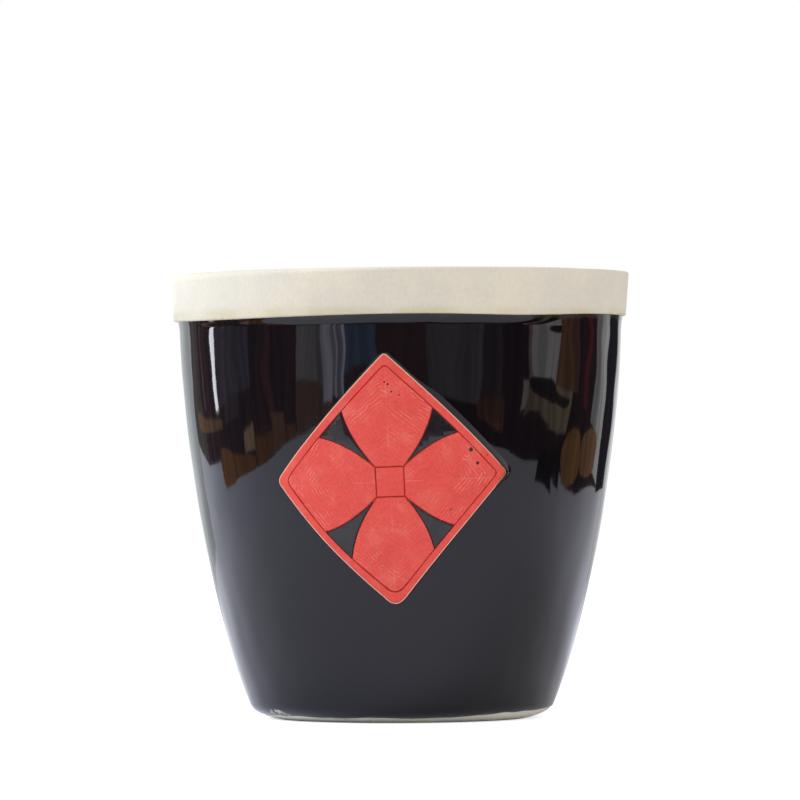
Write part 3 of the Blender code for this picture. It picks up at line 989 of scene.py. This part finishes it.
lining_glaze = lining_material()
seen_side, clay_side = (inside_profile(offset, RIM_BASE_Z + SEAM) for offset in (0, LINING_THICKNESS))
lining_mesh = turned(seen_side[::-1] + clay_side, closed=False)
keep("lining", lining_mesh, "lining_glaze", [lining_glaze], "glaze_lining")

# %% [markdown]
# ## Red enamel
#
# The red is a matt enamel painted on by hand. It clouds from coral to a deeper red and has dark pinholes.
# The pieces share one group. The leaves add fine carved veins to it, which the enamel has half filled, and
# the pits that are plain to see: two deep ones on the right leaf and four small ones on the upper.

# %% Group: enamel
PITS = [
    # across, up, radius, all on the flat emblem
    (0.0199, 0.0072, 0.00062),
    (0.0216, 0.0038, 0.00052),
    (-0.0002, 0.0247, 0.00026),
    (0.0006, 0.0241, 0.00030),
    (0.0013, 0.0223, 0.00030),
    (0.0031, 0.0214, 0.00026),
]
PIT_LIFT = 0.0010
PIT_EDGE_SHARE = 0.6
ENAMEL_CLOUDS = 160
ENAMEL_GRAIN = 1500
ENAMEL_HOLE_CELLS = 520.0
ENAMEL_HOLE_SIZE = (0.09, 0.17)
ENAMEL_HOLE_RARE = (0.95, 0.97)
ENAMEL_HOLE_DEPTH = 2.0
PALE_RED = rgba(232, 104, 88)
DEEP_RED = rgba(217, 60, 52)
HOLE_RED = rgba(110, 42, 36)


def pits_in(tree, vector):
    """1 inside the few pits that are plain to see, else 0."""
    inside = None
    for across, up, radius in PITS:
        away = distance_to(tree, vector, on_wall(across, up, PIT_LIFT))
        pit = between(tree, away, radius * PIT_EDGE_SHARE, radius, 1, 0)
        inside = pit if inside is None else sum_of(tree, "MAXIMUM", inside, pit)
    return inside


def enamel_group():
    """Brushed clouds and pinholes for hand-painted enamel."""
    tree, into, out = new_group("brushed_enamel", (("Vector", "Vector"), ("Colour", "Color")),
                                (("Colour", "Color"), ("Height", "Float")))
    clouds = speckle(tree, into["Vector"], ENAMEL_CLOUDS, 4, 0.6)
    grain = speckle(tree, into["Vector"], ENAMEL_GRAIN, 3, 0.6)
    pale = mixed(tree, between(tree, clouds, 0.50, 0.72, 0, 0.55), into["Colour"], PALE_RED)
    deep = mixed(tree, between(tree, clouds, 0.46, 0.30, 0, 0.6), pale, DEEP_RED)
    fine = mixed(tree, between(tree, grain, 0.35, 0.65), rgba(240, 240, 240), rgba(255, 255, 255))
    grained = mixed(tree, 1.0, deep, fine, "MULTIPLY")
    holes = scattered_spots(tree, into["Vector"], ENAMEL_HOLE_CELLS, ENAMEL_HOLE_SIZE, ENAMEL_HOLE_RARE,
                            part=2)
    tree.links.new(mixed(tree, holes, grained, HOLE_RED), out["Colour"])
    tree.links.new(sum_of(tree, "SUBTRACT", grain, times(tree, holes, ENAMEL_HOLE_DEPTH)), out["Height"])
    return tree


brushed_enamel = enamel_group()
print("group:", brushed_enamel.name, "with", len(brushed_enamel.nodes), "nodes")

# %% Group: carved veins
VEIN_PITCH_CM = 0.105
VEIN_SLANT = 0.85
VEIN_WIDTH_SHARE = 0.30
VEINS_START_CM = (0.9, 1.9)
VEIN_SHAKE_CM = (0.16, 0.16, 0)
VEIN_SHAKES = 3.0
VEIN_BREAKS = 7
MIDRIB_HALF_WIDTH_CM = 0.022
MIDRIB_SHARE = 0.55


def vein_group():
    """Fine carved lines that fan out from a leaf's midrib. UV runs across the leaf and then along it."""
    tree, into, out = new_group("carved_veins", (("Flat place", "Vector"),), (("Lines", "Float"),))
    flat = into["Flat place"]
    shakes = add(tree, "TexNoise", {"Vector": flat, "Scale": VEIN_SHAKES}).outputs[1]
    shaken = vector_sum(tree, "MULTIPLY", shakes, VEIN_SHAKE_CM)[0]
    place = split(tree, vector_sum(tree, "ADD", flat, shaken)[0])
    plain = split(tree, flat)
    climb = sum_of(tree, "ADD", times(tree, sum_of(tree, "ABSOLUTE", place["X"]), VEIN_SLANT), place["Y"])
    step = sum_of(tree, "FRACT", sum_of(tree, "DIVIDE", climb, VEIN_PITCH_CM))
    off_line = sum_of(tree, "ABSOLUTE", sum_of(tree, "SUBTRACT", step, 0.5))
    side_lines = between(tree, off_line, VEIN_WIDTH_SHARE / 4, VEIN_WIDTH_SHARE, 1, 0)
    broken = between(tree, speckle(tree, flat, VEIN_BREAKS, 3, 0.6), 0.40, 0.60, 0.15, 1)
    outer = between(tree, plain["Y"], *VEINS_START_CM, 0.35, 1)
    side_lines = times(tree, times(tree, side_lines, broken), outer)
    aside = sum_of(tree, "ABSOLUTE", plain["X"])
    midrib = between(tree, aside, MIDRIB_HALF_WIDTH_CM / 3, MIDRIB_HALF_WIDTH_CM, MIDRIB_SHARE, 0)
    tree.links.new(sum_of(tree, "MAXIMUM", side_lines, midrib), out["Lines"])
    return tree


carved_veins = vein_group()
print("group:", carved_veins.name, "with", len(carved_veins.nodes), "nodes")

# %% Materials: red enamel, plain and carved, and black enamel
RED = rgba(228, 71, 60)
VEIN_PINK = rgba(240, 150, 132)
PIT_BROWN = rgba(52, 16, 16)
RED_DEPTH = 0.00002
LEAF_DEPTH = 0.00003
VEIN_SINK = 2.0
PIT_SINK = 12.0
UNFILLED_CLOUDS = 210
FIELD_CLOUDS = 300
FIELD_BLACKS = (rgba(16, 15, 17), rgba(30, 26, 27))
FIELD_DEPTH = 0.000020


def red_enamel_material():
    """The plain red of the border and the centre."""
    material, tree, shader = new_material("red_enamel", roughness=0.58)
    paint = use_group(tree, brushed_enamel, {"Vector": place_on_jar(tree), "Colour": RED})
    dress(tree, shader, paint["Colour"], paint["Height"], RED_DEPTH)
    return material


def leaf_enamel_material():
    """The leaves' red, with carved lines that show the pale clay under it."""
    material, tree, shader = new_material("leaf_enamel", roughness=0.60)
    vector = place_on_jar(tree)
    flat = add(tree, "UVMap", uv_map="flat").outputs["UV"]
    paint = use_group(tree, brushed_enamel, {"Vector": vector, "Colour": RED})
    lines = use_group(tree, carved_veins, {"Flat place": flat})["Lines"]
    unfilled = between(tree, speckle(tree, vector, UNFILLED_CLOUDS, 2), 0.42, 0.66, 0.08, 0.50)
    veined = mixed(tree, times(tree, lines, unfilled), paint["Colour"], VEIN_PINK)
    pits = pits_in(tree, vector)
    pressed = sum_of(tree, "ADD", times(tree, lines, VEIN_SINK), times(tree, pits, PIT_SINK))
    height = sum_of(tree, "SUBTRACT", paint["Height"], pressed)
    dress(tree, shader, mixed(tree, pits, veined, PIT_BROWN), height, LEAF_DEPTH)
    return material


def field_black_material():
    """Black enamel between the leaves: glossy, a little softer than the coat."""
    material, tree, shader = new_material("field_black", roughness=0.12, IOR=1.5)
    vector = place_on_jar(tree)
    skin = use_group(tree, glaze_skin, {"Vector": vector})
    clouds = between(tree, speckle(tree, vector, FIELD_CLOUDS, 3), 0.35, 0.65)
    dress(tree, shader, mixed(tree, clouds, *FIELD_BLACKS), skin["Height"], FIELD_DEPTH)
    return material


red_enamel = red_enamel_material()
leaf_enamel = leaf_enamel_material()
field_black = field_black_material()
print("enamel materials: 3")

# %% [markdown]
# ## The raised ground
#
# The clay diamond itself shows as a pale hairline between the glaze lip and the red border: a thin ridge of
# clay that holds the enamel in. Its middle lies deeper and is only seen in the grooves between the enamel
# fields, where the red has run, so the face is inset twice, the inner part is pressed down, and it gets the
# red.

# %% Emblem ground
PAD_TOP = 0.00035
RIDGE_TOP = 0.00090
PAD_EDGE_ROUND = 0.00010
HAIRLINE_WIDTH = 0.00026


def make_ground():
    """The raised clay diamond, pale at its edge and red inside."""
    bm = bmesh.new()
    raise_faces(bm, [flat_face(bm, diamond)], -GLAZE_THICKNESS, RIDGE_TOP, PAD_EDGE_ROUND)
    top = max(bm.faces, key=lambda face: (-face.calc_center_median().y, face.calc_area()))
    for step in (HAIRLINE_WIDTH - PAD_EDGE_ROUND, SEAM):
        draw_in(bm, [top], step)
    for vert in top.verts:
        vert.co.y = -PAD_TOP
    top.material_index = 1
    cut_fine(bm)
    wrap(bm)
    return keep("emblem_ground", bm, "bare_clay", [pad_clay, red_enamel], "emblem_pad")


make_ground()

# %% [markdown]
# ## Border and fields
#
# The border is a frame between two outlines. The fields are drawn whole and generous, then trimmed by
# planes along the border's inner edge, which is how a stencil would be cut. Each leaf is one curve used
# eight times: its side and the mirror image, turned to face each corner.

# %% Border
BORDER_WIDTH = 0.0017
ENAMEL_BASE = PAD_TOP + SEAT_GAP / 3
ENAMEL_TOP = 0.00105
ENAMEL_ROUND = 0.00022


def make_border():
    """The plain red band just inside the diamond's edge."""
    bm = bmesh.new()
    rings = []
    for inward in (HAIRLINE_WIDTH, HAIRLINE_WIDTH + BORDER_WIDTH):
        rings += closed_ring(bm, [(x, 0, z) for x, z in diamond_outline(inward)])
    bmesh.ops.bridge_loops(bm, edges=rings)
    bmesh.ops.recalc_face_normals(bm, faces=bm.faces[:])
    raise_faces(bm, bm.faces[:], ENAMEL_BASE, ENAMEL_TOP, ENAMEL_ROUND)
    cut_fine(bm)
    note_flat_place(bm)
    wrap(bm)
    return keep("border", bm, "red_enamel", [red_enamel], "emblem_border")


make_border()

# %% Leaf outline
CENTRE_SQUARE_SHARE = 0.115
LEAF_BEND_SHARES = (0.33, 0.36)
LEAF_SHOULDER_SHARES = (0.37, 0.60)
LEAF_REACH_SHARES = (0.70, 1.30)
LEAF_TIP_SHARE = 1.60
LEAF_BEND_STEPS = 24


def scaled(shares):
    """A point given in shares of the diamond's half width and half height."""
    return (shares[0] * EMBLEM_HALF_WIDTH, shares[1] * EMBLEM_HALF_HEIGHT)


def leaf_side():
    """One side of the upright leaf, from the centre square out past the border."""
    start = scaled((CENTRE_SQUARE_SHARE, CENTRE_SQUARE_SHARE))
    curve = bend(start, scaled(LEAF_BEND_SHARES), scaled(LEAF_SHOULDER_SHARES), LEAF_BEND_STEPS)
    return curve + [scaled(LEAF_REACH_SHARES)]


def swapped(points):
    """The same points mirrored across the diamond's diagonal."""
    ratio = EMBLEM_HALF_WIDTH / EMBLEM_HALF_HEIGHT
    return [(z * ratio, x / ratio) for x, z in points]


side = leaf_side()
upright_leaf = side + [(0, LEAF_TIP_SHARE * EMBLEM_HALF_HEIGHT)] + [(-x, z) for x, z in side[::-1]]
sideways_leaf = swapped(upright_leaf)
wedge = side + swapped(side)[:0:-1]
print("a leaf's side has", len(side), "points")

# %% Fields
TRIM_EVERY = 3
SHORTEST_EDGE = 0.00008
LEAF_CROWN = 0.00010
LEAF_VALLEY = 0.00016
VALLEY_HALF_WIDTH = 0.00050
LEAF_HALF_WIDTH = 0.0110
trim = diamond_outline(HAIRLINE_WIDTH + BORDER_WIDTH + SEAT_GAP / 2)[::TRIM_EVERY]


def trimmed_face(bm, outline):
    """The outline's face, drawn in by part of the gap and trimmed by the border. Short edges are closed."""
    ring = draw_in(bm, [flat_face(bm, outline)], SEAT_GAP / 3)
    bmesh.ops.delete(bm, geom=ring["faces"], context="FACES")
    for a, b in zip(trim, trim[1:] + trim[:1]):
        out = outward(a, b)
        bmesh.ops.bisect_plane(bm, geom=bm.verts[:] + bm.edges[:] + bm.faces[:], dist=MERGE_DISTANCE,
                               plane_co=(a[0], 0, a[1]), plane_no=(out[0], 0, out[1]), clear_outer=True)
    bmesh.ops.remove_doubles(bm, verts=bm.verts[:], dist=SHORTEST_EDGE)
    return bm.faces[:]


def crown_leaf(bm, along):
    """Swell a leaf's face a little and press a valley along its middle."""
    for vert in bm.verts:
        if -vert.co.y > ENAMEL_TOP - MERGE_DISTANCE:
            across = vert.co.x * along[1] - vert.co.z * along[0]
            swell = LEAF_CROWN * (1 - (across / LEAF_HALF_WIDTH) ** 2)
            valley = LEAF_VALLEY * math.exp(-(across / VALLEY_HALF_WIDTH) ** 2)
            vert.co.y -= swell - valley


def make_field(name, outline, slot, material, node, along=(0, 1), leaf=False,
               top=ENAMEL_TOP, edge=ENAMEL_ROUND):
    """One enamel field of the emblem, up to a height above the glaze, with a round edge."""
    bm = bmesh.new()
    raise_faces(bm, trimmed_face(bm, outline), ENAMEL_BASE, top, edge)
    cut_fine(bm)
    note_flat_place(bm, along)
    if leaf:
        crown_leaf(bm, along)
    wrap(bm)
    return keep(name, bm, slot, [material], node)


leaf_outlines = {
    "top": (upright_leaf, (0, 1)),
    "bottom": ([(x, -z) for x, z in upright_leaf], (0, -1)),
    "right": (sideways_leaf, (1, 0)),
    "left": ([(-x, z) for x, z in sideways_leaf], (-1, 0)),
}
for corner, (outline, along) in leaf_outlines.items():
    node = "leaf_" + corner
    make_field(node + "_enamel", outline, "red_enamel", leaf_enamel, node, along, leaf=True)

quarters = {"upper_right": (1, 1), "lower_right": (1, -1), "lower_left": (-1, -1), "upper_left": (-1, 1)}
for quarter, (across, up) in quarters.items():
    outline = [(x * across, z * up) for x, z in wedge]
    make_field("field_" + quarter, outline, "black_glaze", field_black, "inlay_" + quarter)

# %% [markdown]
# ## The centre
#
# The leaves spring from a small square button. It is one more field, a little higher than the leaves and
# rounder at its edge.

# %% Centre button
CENTRE_EXTRA = 0.00015
CENTRE_ROUND = 0.00030
wide, tall = scaled((CENTRE_SQUARE_SHARE, CENTRE_SQUARE_SHARE))
square = [(-wide, tall), (wide, tall), (wide, -tall), (-wide, -tall)]
make_field("centre_button", square, "red_enamel", red_enamel, "centre_square",
           top=ENAMEL_TOP + CENTRE_EXTRA, edge=CENTRE_ROUND)

# %% [markdown]
# ## The clay body
#
# The body's solid is right as it is: it only shows inside the foot ring, from below. It keeps its mesh and
# gets the clay material.

# %% Clay body
body_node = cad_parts["clay_body"]
for material_slot in body_node.material_slots:
    material_slot.material = body_clay
print("clay body keeps its solid, with material", body_node.material_slots[0].material.name)

# %% [markdown]
# ## The floor
#
# The jar stands on a wide white sheet. The background behind it is white too, and it comes from Light Path,
# not from more light on the jar: rays from the camera see the sheet brighter than it is lit, so that only
# the jar's shadow is left of it. Rays that a gloss sends out get a lift too, which paints light and shade
# into the glaze's reflection of the sheet: a painted shade close to the jar, where the sheet lies in its
# shade, and far off, a smaller lift ahead of the jar, where the sheet ends in the real room, and painted
# light on the left, where more light falls. Glossy rays also see the sheet painted a touch darker and
# cooler.

# %% Floor
FLOOR_RADIUS = 2.60
FLOOR_SIDES = 128
FLOOR_LIFT = 0.64
# For glossy rays alone, the lifts and shares below paint light and shade into the sheet's reflection.
GLOSS_LIFT_IN_FRONT = 0.27
GLOSS_LIFT_BESIDE = 0.39
BESIDE = (-0.06, 0.06)
NEAR_JAR = (0.033, 0.065)
CLOSE_PAINTED_SHADE = 0.35
FAR_OFF = (0.22, 0.38)
DISTANT_PAINTED_SHADE = 0.70
SIDES = (-0.20, 0.20)
LEFT_RIGHT_PAINTED_LIGHT = (1.30, 0.78)
SHEET_END = (-0.41, -0.29)
BEYOND_SHARE = 0.08
SHEET = (0.80, 0.80, 0.80, 1)
# Painted reflection colour: what glossy rays alone see of the sheet.
SHEET_PAINTED_FOR_GLOSS = (0.775, 0.757, 0.82, 1)
SHEET_GLOW = (0.95, 0.95, 1, 1)


def seen_directly(tree):
    """1 for rays from the camera and for rays that a gloss or a glass sends out, else 0."""
    path = add(tree, "LightPath").outputs
    seen = sum_of(tree, "ADD", path["Is Camera Ray"], path["Is Glossy Ray"])
    return sum_of(tree, "ADD", seen, path["Is Transmission Ray"], clamp=True)


def floor_lift(tree):
    """The sheet's extra brightness, for each sort of ray. For glossy rays it is painted light and shade."""
    path = add(tree, "LightPath").outputs
    place = place_on_jar(tree)
    across, ahead = split(tree, place)["X"], split(tree, place)["Y"]
    away = distance_to(tree, place, (0, 0, 0))
    gloss = between(tree, ahead, *BESIDE, GLOSS_LIFT_IN_FRONT, GLOSS_LIFT_BESIDE)
    shares = (between(tree, away, *NEAR_JAR, CLOSE_PAINTED_SHADE, 1),
              between(tree, away, *FAR_OFF, 1, DISTANT_PAINTED_SHADE),
              between(tree, across, *SIDES, *LEFT_RIGHT_PAINTED_LIGHT),
              between(tree, ahead, *SHEET_END, BEYOND_SHARE, 1))
    for share in shares + (path["Is Glossy Ray"],):
        gloss = times(tree, gloss, share)
    plain = sum_of(tree, "ADD", path["Is Camera Ray"], path["Is Transmission Ray"], clamp=True)
    return sum_of(tree, "ADD", times(tree, plain, FLOOR_LIFT), gloss)


def floor_material():
    """A matt white sheet, painted a touch darker and cooler for glossy rays alone: a painted reflection."""
    material, tree, shader = new_material("floor_white", roughness=0.9, Specular_IOR_Level=0.0,
                                          Emission_Color=SHEET_GLOW)
    gloss_seen = add(tree, "LightPath").outputs["Is Glossy Ray"]
    tree.links.new(mixed(tree, gloss_seen, SHEET, SHEET_PAINTED_FOR_GLOSS), shader.inputs["Base Color"])
    tree.links.new(floor_lift(tree), shader.inputs["Emission Strength"])
    return material


bm = bmesh.new()
bmesh.ops.create_circle(bm, cap_ends=True, segments=FLOOR_SIDES, radius=FLOOR_RADIUS)
floor = object_from("floor", bm, floor_material())
print("floor radius", FLOOR_RADIUS)

# %% [markdown]
# ## What the glaze reflects
#
# Black glass shows its surroundings and little else. In a studio that is a dim room: a dark wall beyond the
# white sheet, a pale backdrop behind the jar, and a few lit things standing in the room. A dark curtain, a
# backdrop and a ring of cards stand for them. They are real objects on the stage, so the reflections turn
# properly when the camera moves, and only glossy rays see them, so they neither light the jar nor hide the
# background. A card is a strip of a cylinder, spun between two turns. A rounded card is a disc, bent round
# the same axis.

# %% Curtain and cards
RING_RADIUS = 0.360
CARD_SPACING = 0.0006
CURTAIN_TOP = 0.150
CURTAIN_COLOUR = rgba(255, 210, 222)
CURTAIN_STRENGTH = 0.10
CURTAIN_LEFT = -135
CURTAIN_RIGHT = 148
LEFT_RISES_FROM = 100
LEFT_RISE = 0.0011
LEFT_STEP = 108.5
LEFT_STEP_HEIGHT = 0.0185
LEFT_FLAT_TO = 126
LEFT_FLAT_RISE = 0.0006
LEFT_STEEP_RISE = 0.0018
RIGHT_RISES_FROM = 108
RIGHT_RISE = 0.0010
FOLD_RISE = 0.014
FOLD_TURN = -40
FOLD_WIDTH = 20
STREAK_STRETCH = (60, 60, 6)
STREAKS = 0.22
DEGREES_PER_STEP = 2
BARREL = 0.4
DISC_SIDES = 32


def curtain_foot(turn):
    """Height of the curtain's lower edge. It lifts in one fold in front, and towards the backdrop."""
    if -LEFT_STEP <= turn < -LEFT_RISES_FROM:
        return LEFT_RISE * (-turn - LEFT_RISES_FROM)
    if turn < -LEFT_STEP:
        level, steep = min(-turn, LEFT_FLAT_TO) - LEFT_STEP, max(0, -turn - LEFT_FLAT_TO)
        return LEFT_STEP_HEIGHT + LEFT_FLAT_RISE * level + LEFT_STEEP_RISE * steep
    fold = FOLD_RISE * math.exp(-((turn - FOLD_TURN) / FOLD_WIDTH) ** 2)
    return fold + RIGHT_RISE * max(0, turn - RIGHT_RISES_FROM)


def glow_material(name, colour, strength):
    """A plain glow, lightly streaked from top to bottom, as things in a room are."""
    glow = bpy.data.materials.new(name)
    glow.use_nodes = True
    tree = glow.node_tree
    tree.nodes.clear()
    stretched = vector_sum(tree, "MULTIPLY", place_on_jar(tree), STREAK_STRETCH)[0]
    streaks = speckle(tree, stretched, 1.0, 3)
    level = between(tree, streaks, 0.3, 0.7, strength * (1 - STREAKS), strength * (1 + STREAKS))
    emission = add(tree, "Emission", {"Color": colour, "Strength": level})
    add(tree, "OutputMaterial", {"Surface": emission.outputs[0]})
    return glow


def on_ring(turn, z, radius):
    """A place on the ring of cards, at a turn in degrees from the front."""
    return (radius * math.sin(math.radians(turn)), -radius * math.cos(math.radians(turn)), z)


def stand(name, bm, colour, strength):
    """Put a card on the stage, for glossy rays alone."""
    card = object_from(name, bm, glow_material(name, colour, strength))
    for sort in ("camera", "diffuse", "transmission", "volume_scatter", "shadow"):
        setattr(card, "visible_" + sort, False)


def stand_strip(name, start, end, low, high, colour, strength, radius, climb=0, hung=True):
    """A strip between two turns and two heights. Its edges off the floor may climb, in metres a degree."""
    bm = bmesh.new()
    ends = [bm.verts.new(on_ring(start, z, radius)) for z in (low, high)]
    steps = math.ceil((end - start) / DEGREES_PER_STEP)
    bmesh.ops.spin(bm, geom=ends + [bm.edges.new(ends)], cent=(0, 0, 0), axis=(0, 0, 1), dvec=(0, 0, 0),
                   angle=math.radians(end - start), steps=steps, use_merge=False)
    for vert in bm.verts:
        turn = math.degrees(turn_of(vert.co))
        vert.co.z += climb * (abs(turn) - min(abs(start), abs(end))) * (vert.co.z > 0)
        if hung:
            vert.co.z = max(vert.co.z, curtain_foot(turn))
    stand(name, bm, colour, strength)


def stand_disc(name, turn, z, half_width, half_height, colour, strength, radius, climb=0):
    """An oval card: a circle, stretched and bent round the jar's axis."""
    bm = bmesh.new()
    bmesh.ops.create_circle(bm, cap_ends=True, segments=DISC_SIDES, radius=1)
    for vert in bm.verts:
        across, up = vert.co.x * half_width * (1 + BARREL * vert.co.y ** 2), vert.co.y * half_height
        vert.co = on_ring(turn + across, z + up + climb * across, radius)
    stand(name, bm, colour, strength)


stand_strip("curtain", CURTAIN_LEFT, CURTAIN_RIGHT, 0, CURTAIN_TOP, CURTAIN_COLOUR, CURTAIN_STRENGTH,
            RING_RADIUS)
BACKDROP_FOOT = -0.001
BACKDROP_TOP = 0.30
BACKDROPS = [
    # name, start, end, colour, strength
    ("backdrop_back", -181, -160, (247, 252, 255), 0.84),
    ("backdrop_left", -160, CURTAIN_LEFT, (247, 252, 255), 1.02),
    ("backdrop_right", CURTAIN_RIGHT, 179, (252, 252, 255), 0.92),
]
for name, start, end, colour, strength in BACKDROPS:
    stand_strip(name, start, end, BACKDROP_FOOT, BACKDROP_TOP, rgba(*colour), strength, RING_RADIUS,
                hung=False)

STRIPS = [
    # start, end, low, high, colour, strength, climb: turns in degrees, heights in metres
    (CURTAIN_LEFT, -60, 0.000, 0.150, (255, 212, 226), 0.18, 0),
    (-60, -11, 0.000, 0.150, (255, 200, 214), 0.24, 0),
    (-11, 12, 0.000, 0.150, (255, 202, 210), 0.22, 0),
    (CURTAIN_LEFT, -125, 0.000, 0.125, (255, 241, 239), 0.27, 0),
    (-121.7, -120.7, 0.055, 0.105, (255, 205, 205), 0.60, 0),
    (-109.6, -106.8, 0.050, 0.096, (246, 248, 255), 8.5, 0),
    (-105.5, -101, 0.050, 0.120, (249, 226, 255), 0.36, 0),
    (-130, -104, 0.0355, 0.0435, (255, 208, 166), 0.62, 0.00050),
    (-101, -80, 0.050, 0.092, (240, 232, 255), 0.38, 0),
    (-101, -91, 0.036, 0.050, (255, 226, 240), 0.27, 0),
    (-89, -80, 0.0146, 0.0240, (255, 214, 181), 1.30, 0),
    (-108.5, -82, 0.000, 0.010, (255, 184, 131), 0.72, 0.00058),
    (-81, -70, 0.000, 0.020, (255, 182, 131), 0.64, 0),
    (-70, -67.5, 0.030, 0.100, (255, 170, 180), 0.36, 0),
    (-70, -61, 0.000, 0.031, (255, 195, 162), 0.64, 0),
    (-61, -52, 0.000, 0.020, (255, 187, 160), 0.60, 0),
    (-51, -41, 0.045, 0.130, (255, 248, 251), 0.90, 0),
    (-51, -33, 0.000, 0.045, (255, 207, 184), 0.58, 0),
    (-41, -38.5, 0.040, 0.130, (250, 244, 255), 0.66, 0),
    (-38.5, -33.4, 0.026, 0.130, (244, 236, 255), 1.90, 0),
    (-33.4, -31.6, 0.030, 0.130, (254, 242, 255), 0.85, 0),
    (-31.6, -30.8, 0.028, 0.130, (232, 235, 255), 2.4, 0),
    (-30.8, -28.3, 0.028, 0.130, (240, 236, 255), 0.90, 0),
    (-28.3, -27.0, 0.028, 0.130, (226, 230, 255), 2.2, 0),
    (-26.6, -11.5, 0.046, 0.130, (176, 210, 255), 0.66, 0),
    (12, 40, 0.031, 0.086, (255, 241, 251), 0.38, 0),
    (40, 50, 0.034, 0.086, (255, 228, 236), 0.20, 0),
    (39, 52, 0.0205, 0.0340, (255, 189, 153), 0.38, 0),
    (44, 52, 0.0205, 0.0250, (255, 172, 143), 0.56, 0),
    (62.6, 64.8, 0.030, 0.050, (255, 244, 232), 1.30, 0),
    (65.0, 66.8, 0.050, 0.095, (255, 214, 214), 0.95, 0),
    (64.5, 94, 0.0265, 0.054, (255, 224, 196), 0.74, 0.00013),
    (66.8, 85.5, 0.051, 0.088, (255, 247, 246), 1.45, 0),
    (85.5, 94.5, 0.054, 0.120, (255, 187, 148), 0.52, 0),
    (94.5, 100, 0.054, 0.120, (255, 188, 176), 0.34, 0),
    (106.5, 110.5, 0.050, 0.120, (255, 120, 132), 0.34, 0),
    (116, 124, 0.044, 0.150, (255, 252, 255), 0.66, 0),
    (123.5, 131, 0.027, 0.150, (255, 253, 254), 1.20, 0),
    (131, 148, 0.000, 0.150, (229, 225, 255), 0.05, 0),
]
for number, (start, end, low, high, colour, strength, climb) in enumerate(STRIPS, start=1):
    radius = RING_RADIUS - number * CARD_SPACING
    stand_strip(f"strip_{number:02d}", start, end, low, high, rgba(*colour), strength, radius, climb)

DISC_RADIUS = RING_RADIUS - (len(STRIPS) + 2) * CARD_SPACING
DISCS = [
    # turn, height, half width in degrees, half height, colour, strength, climb
    (75.5, 0.0497, 10.5, 0.0090, (255, 249, 239), 0.07, 0),
    (86, 0.0480, 6.5, 0.0032, (255, 249, 239), 0.07, -0.0002),
    (74, 0.0893, 11.0, 0.0008, (255, 249, 239), 0.07, 0),
    (100, 0.0192, 7.2, 0.0140, (255, 188, 128), 0.66, 0.0004),
    (116.6, 0.0299, 9.0, 0.0118, (255, 194, 145), 0.58, 0.0007),
]
for number, (turn, z, half_width, half_height, colour, strength, climb) in enumerate(DISCS, start=1):
    stand_disc(f"disc_{number}", turn, z, half_width, half_height, rgba(*colour), strength, DISC_RADIUS,
               climb)

BLOCK_HEIGHT = 0.020
BLOCK_COLOUR = rgba(255, 230, 240)
BLOCK_STRENGTH = 0.06
NEAR_BLOCKS = [
    # start, end, radius
    (72, 86, 0.300),
    (84, 92, 0.330),
]
for number, (start, end, radius) in enumerate(NEAR_BLOCKS, start=1):
    stand_strip(f"near_block_{number}", start, end, 0, BLOCK_HEIGHT, BLOCK_COLOUR, BLOCK_STRENGTH, radius,
                hung=False)
print("cards round the jar:", len(STRIPS) + len(DISCS) + len(NEAR_BLOCKS))

# %% [markdown]
# ## Light
#
# Three large soft lamps and a dim white surround light the jar. More light comes from the left, and it is
# cooler there, as a window's is. The lamps are set so that a colour renders about as it is written. Glossy
# rays don't see them, since the cards stand for what the glaze shows.

# %% Lamps
LAMPS = {
    # name: place, width, watts, colour
    "key_lamp": ((-0.80, -1.25, 0.95), 0.9, 2.9, (1.0, 0.99, 0.99)),
    "fill_lamp": ((1.35, -0.80, 0.72), 0.9, 4.6, (1.0, 0.99, 0.97)),
    "side_lamp": ((-1.15, 0.10, 1.00), 0.8, 20.0, (0.70, 0.82, 1.0)),
}
AIM_HEIGHT = 0.06


def hang_lamp(name, place, width, watts, colour):
    """A square soft lamp, aimed at the jar."""
    data = bpy.data.lights.new(name, "AREA")
    data.size = width
    data.energy = watts
    data.color = colour
    lamp = bpy.data.objects.new(name, data)
    lamp.location = place
    lamp.rotation_euler = (Vector((0, 0, AIM_HEIGHT)) - Vector(place)).to_track_quat("-Z", "Y").to_euler()
    lamp.visible_glossy = False
    scene.collection.objects.link(lamp)


for name, (place, width, watts, colour) in LAMPS.items():
    hang_lamp(name, place, width, watts, colour)
print("lamps:", len(LAMPS))

# %% World and view
AMBIENT = 0.765
world = bpy.data.worlds.new("studio")
world.use_nodes = True
scene.world = world
tree = world.node_tree
background = tree.nodes["Background"]
background.inputs["Color"].default_value = (1, 1, 1, 1)
tree.links.new(between(tree, seen_directly(tree), 0, 1, AMBIENT, 1), background.inputs["Strength"])
scene.view_settings.view_transform = "Standard"
print("world strength for light", AMBIENT, "and for what is seen 1")
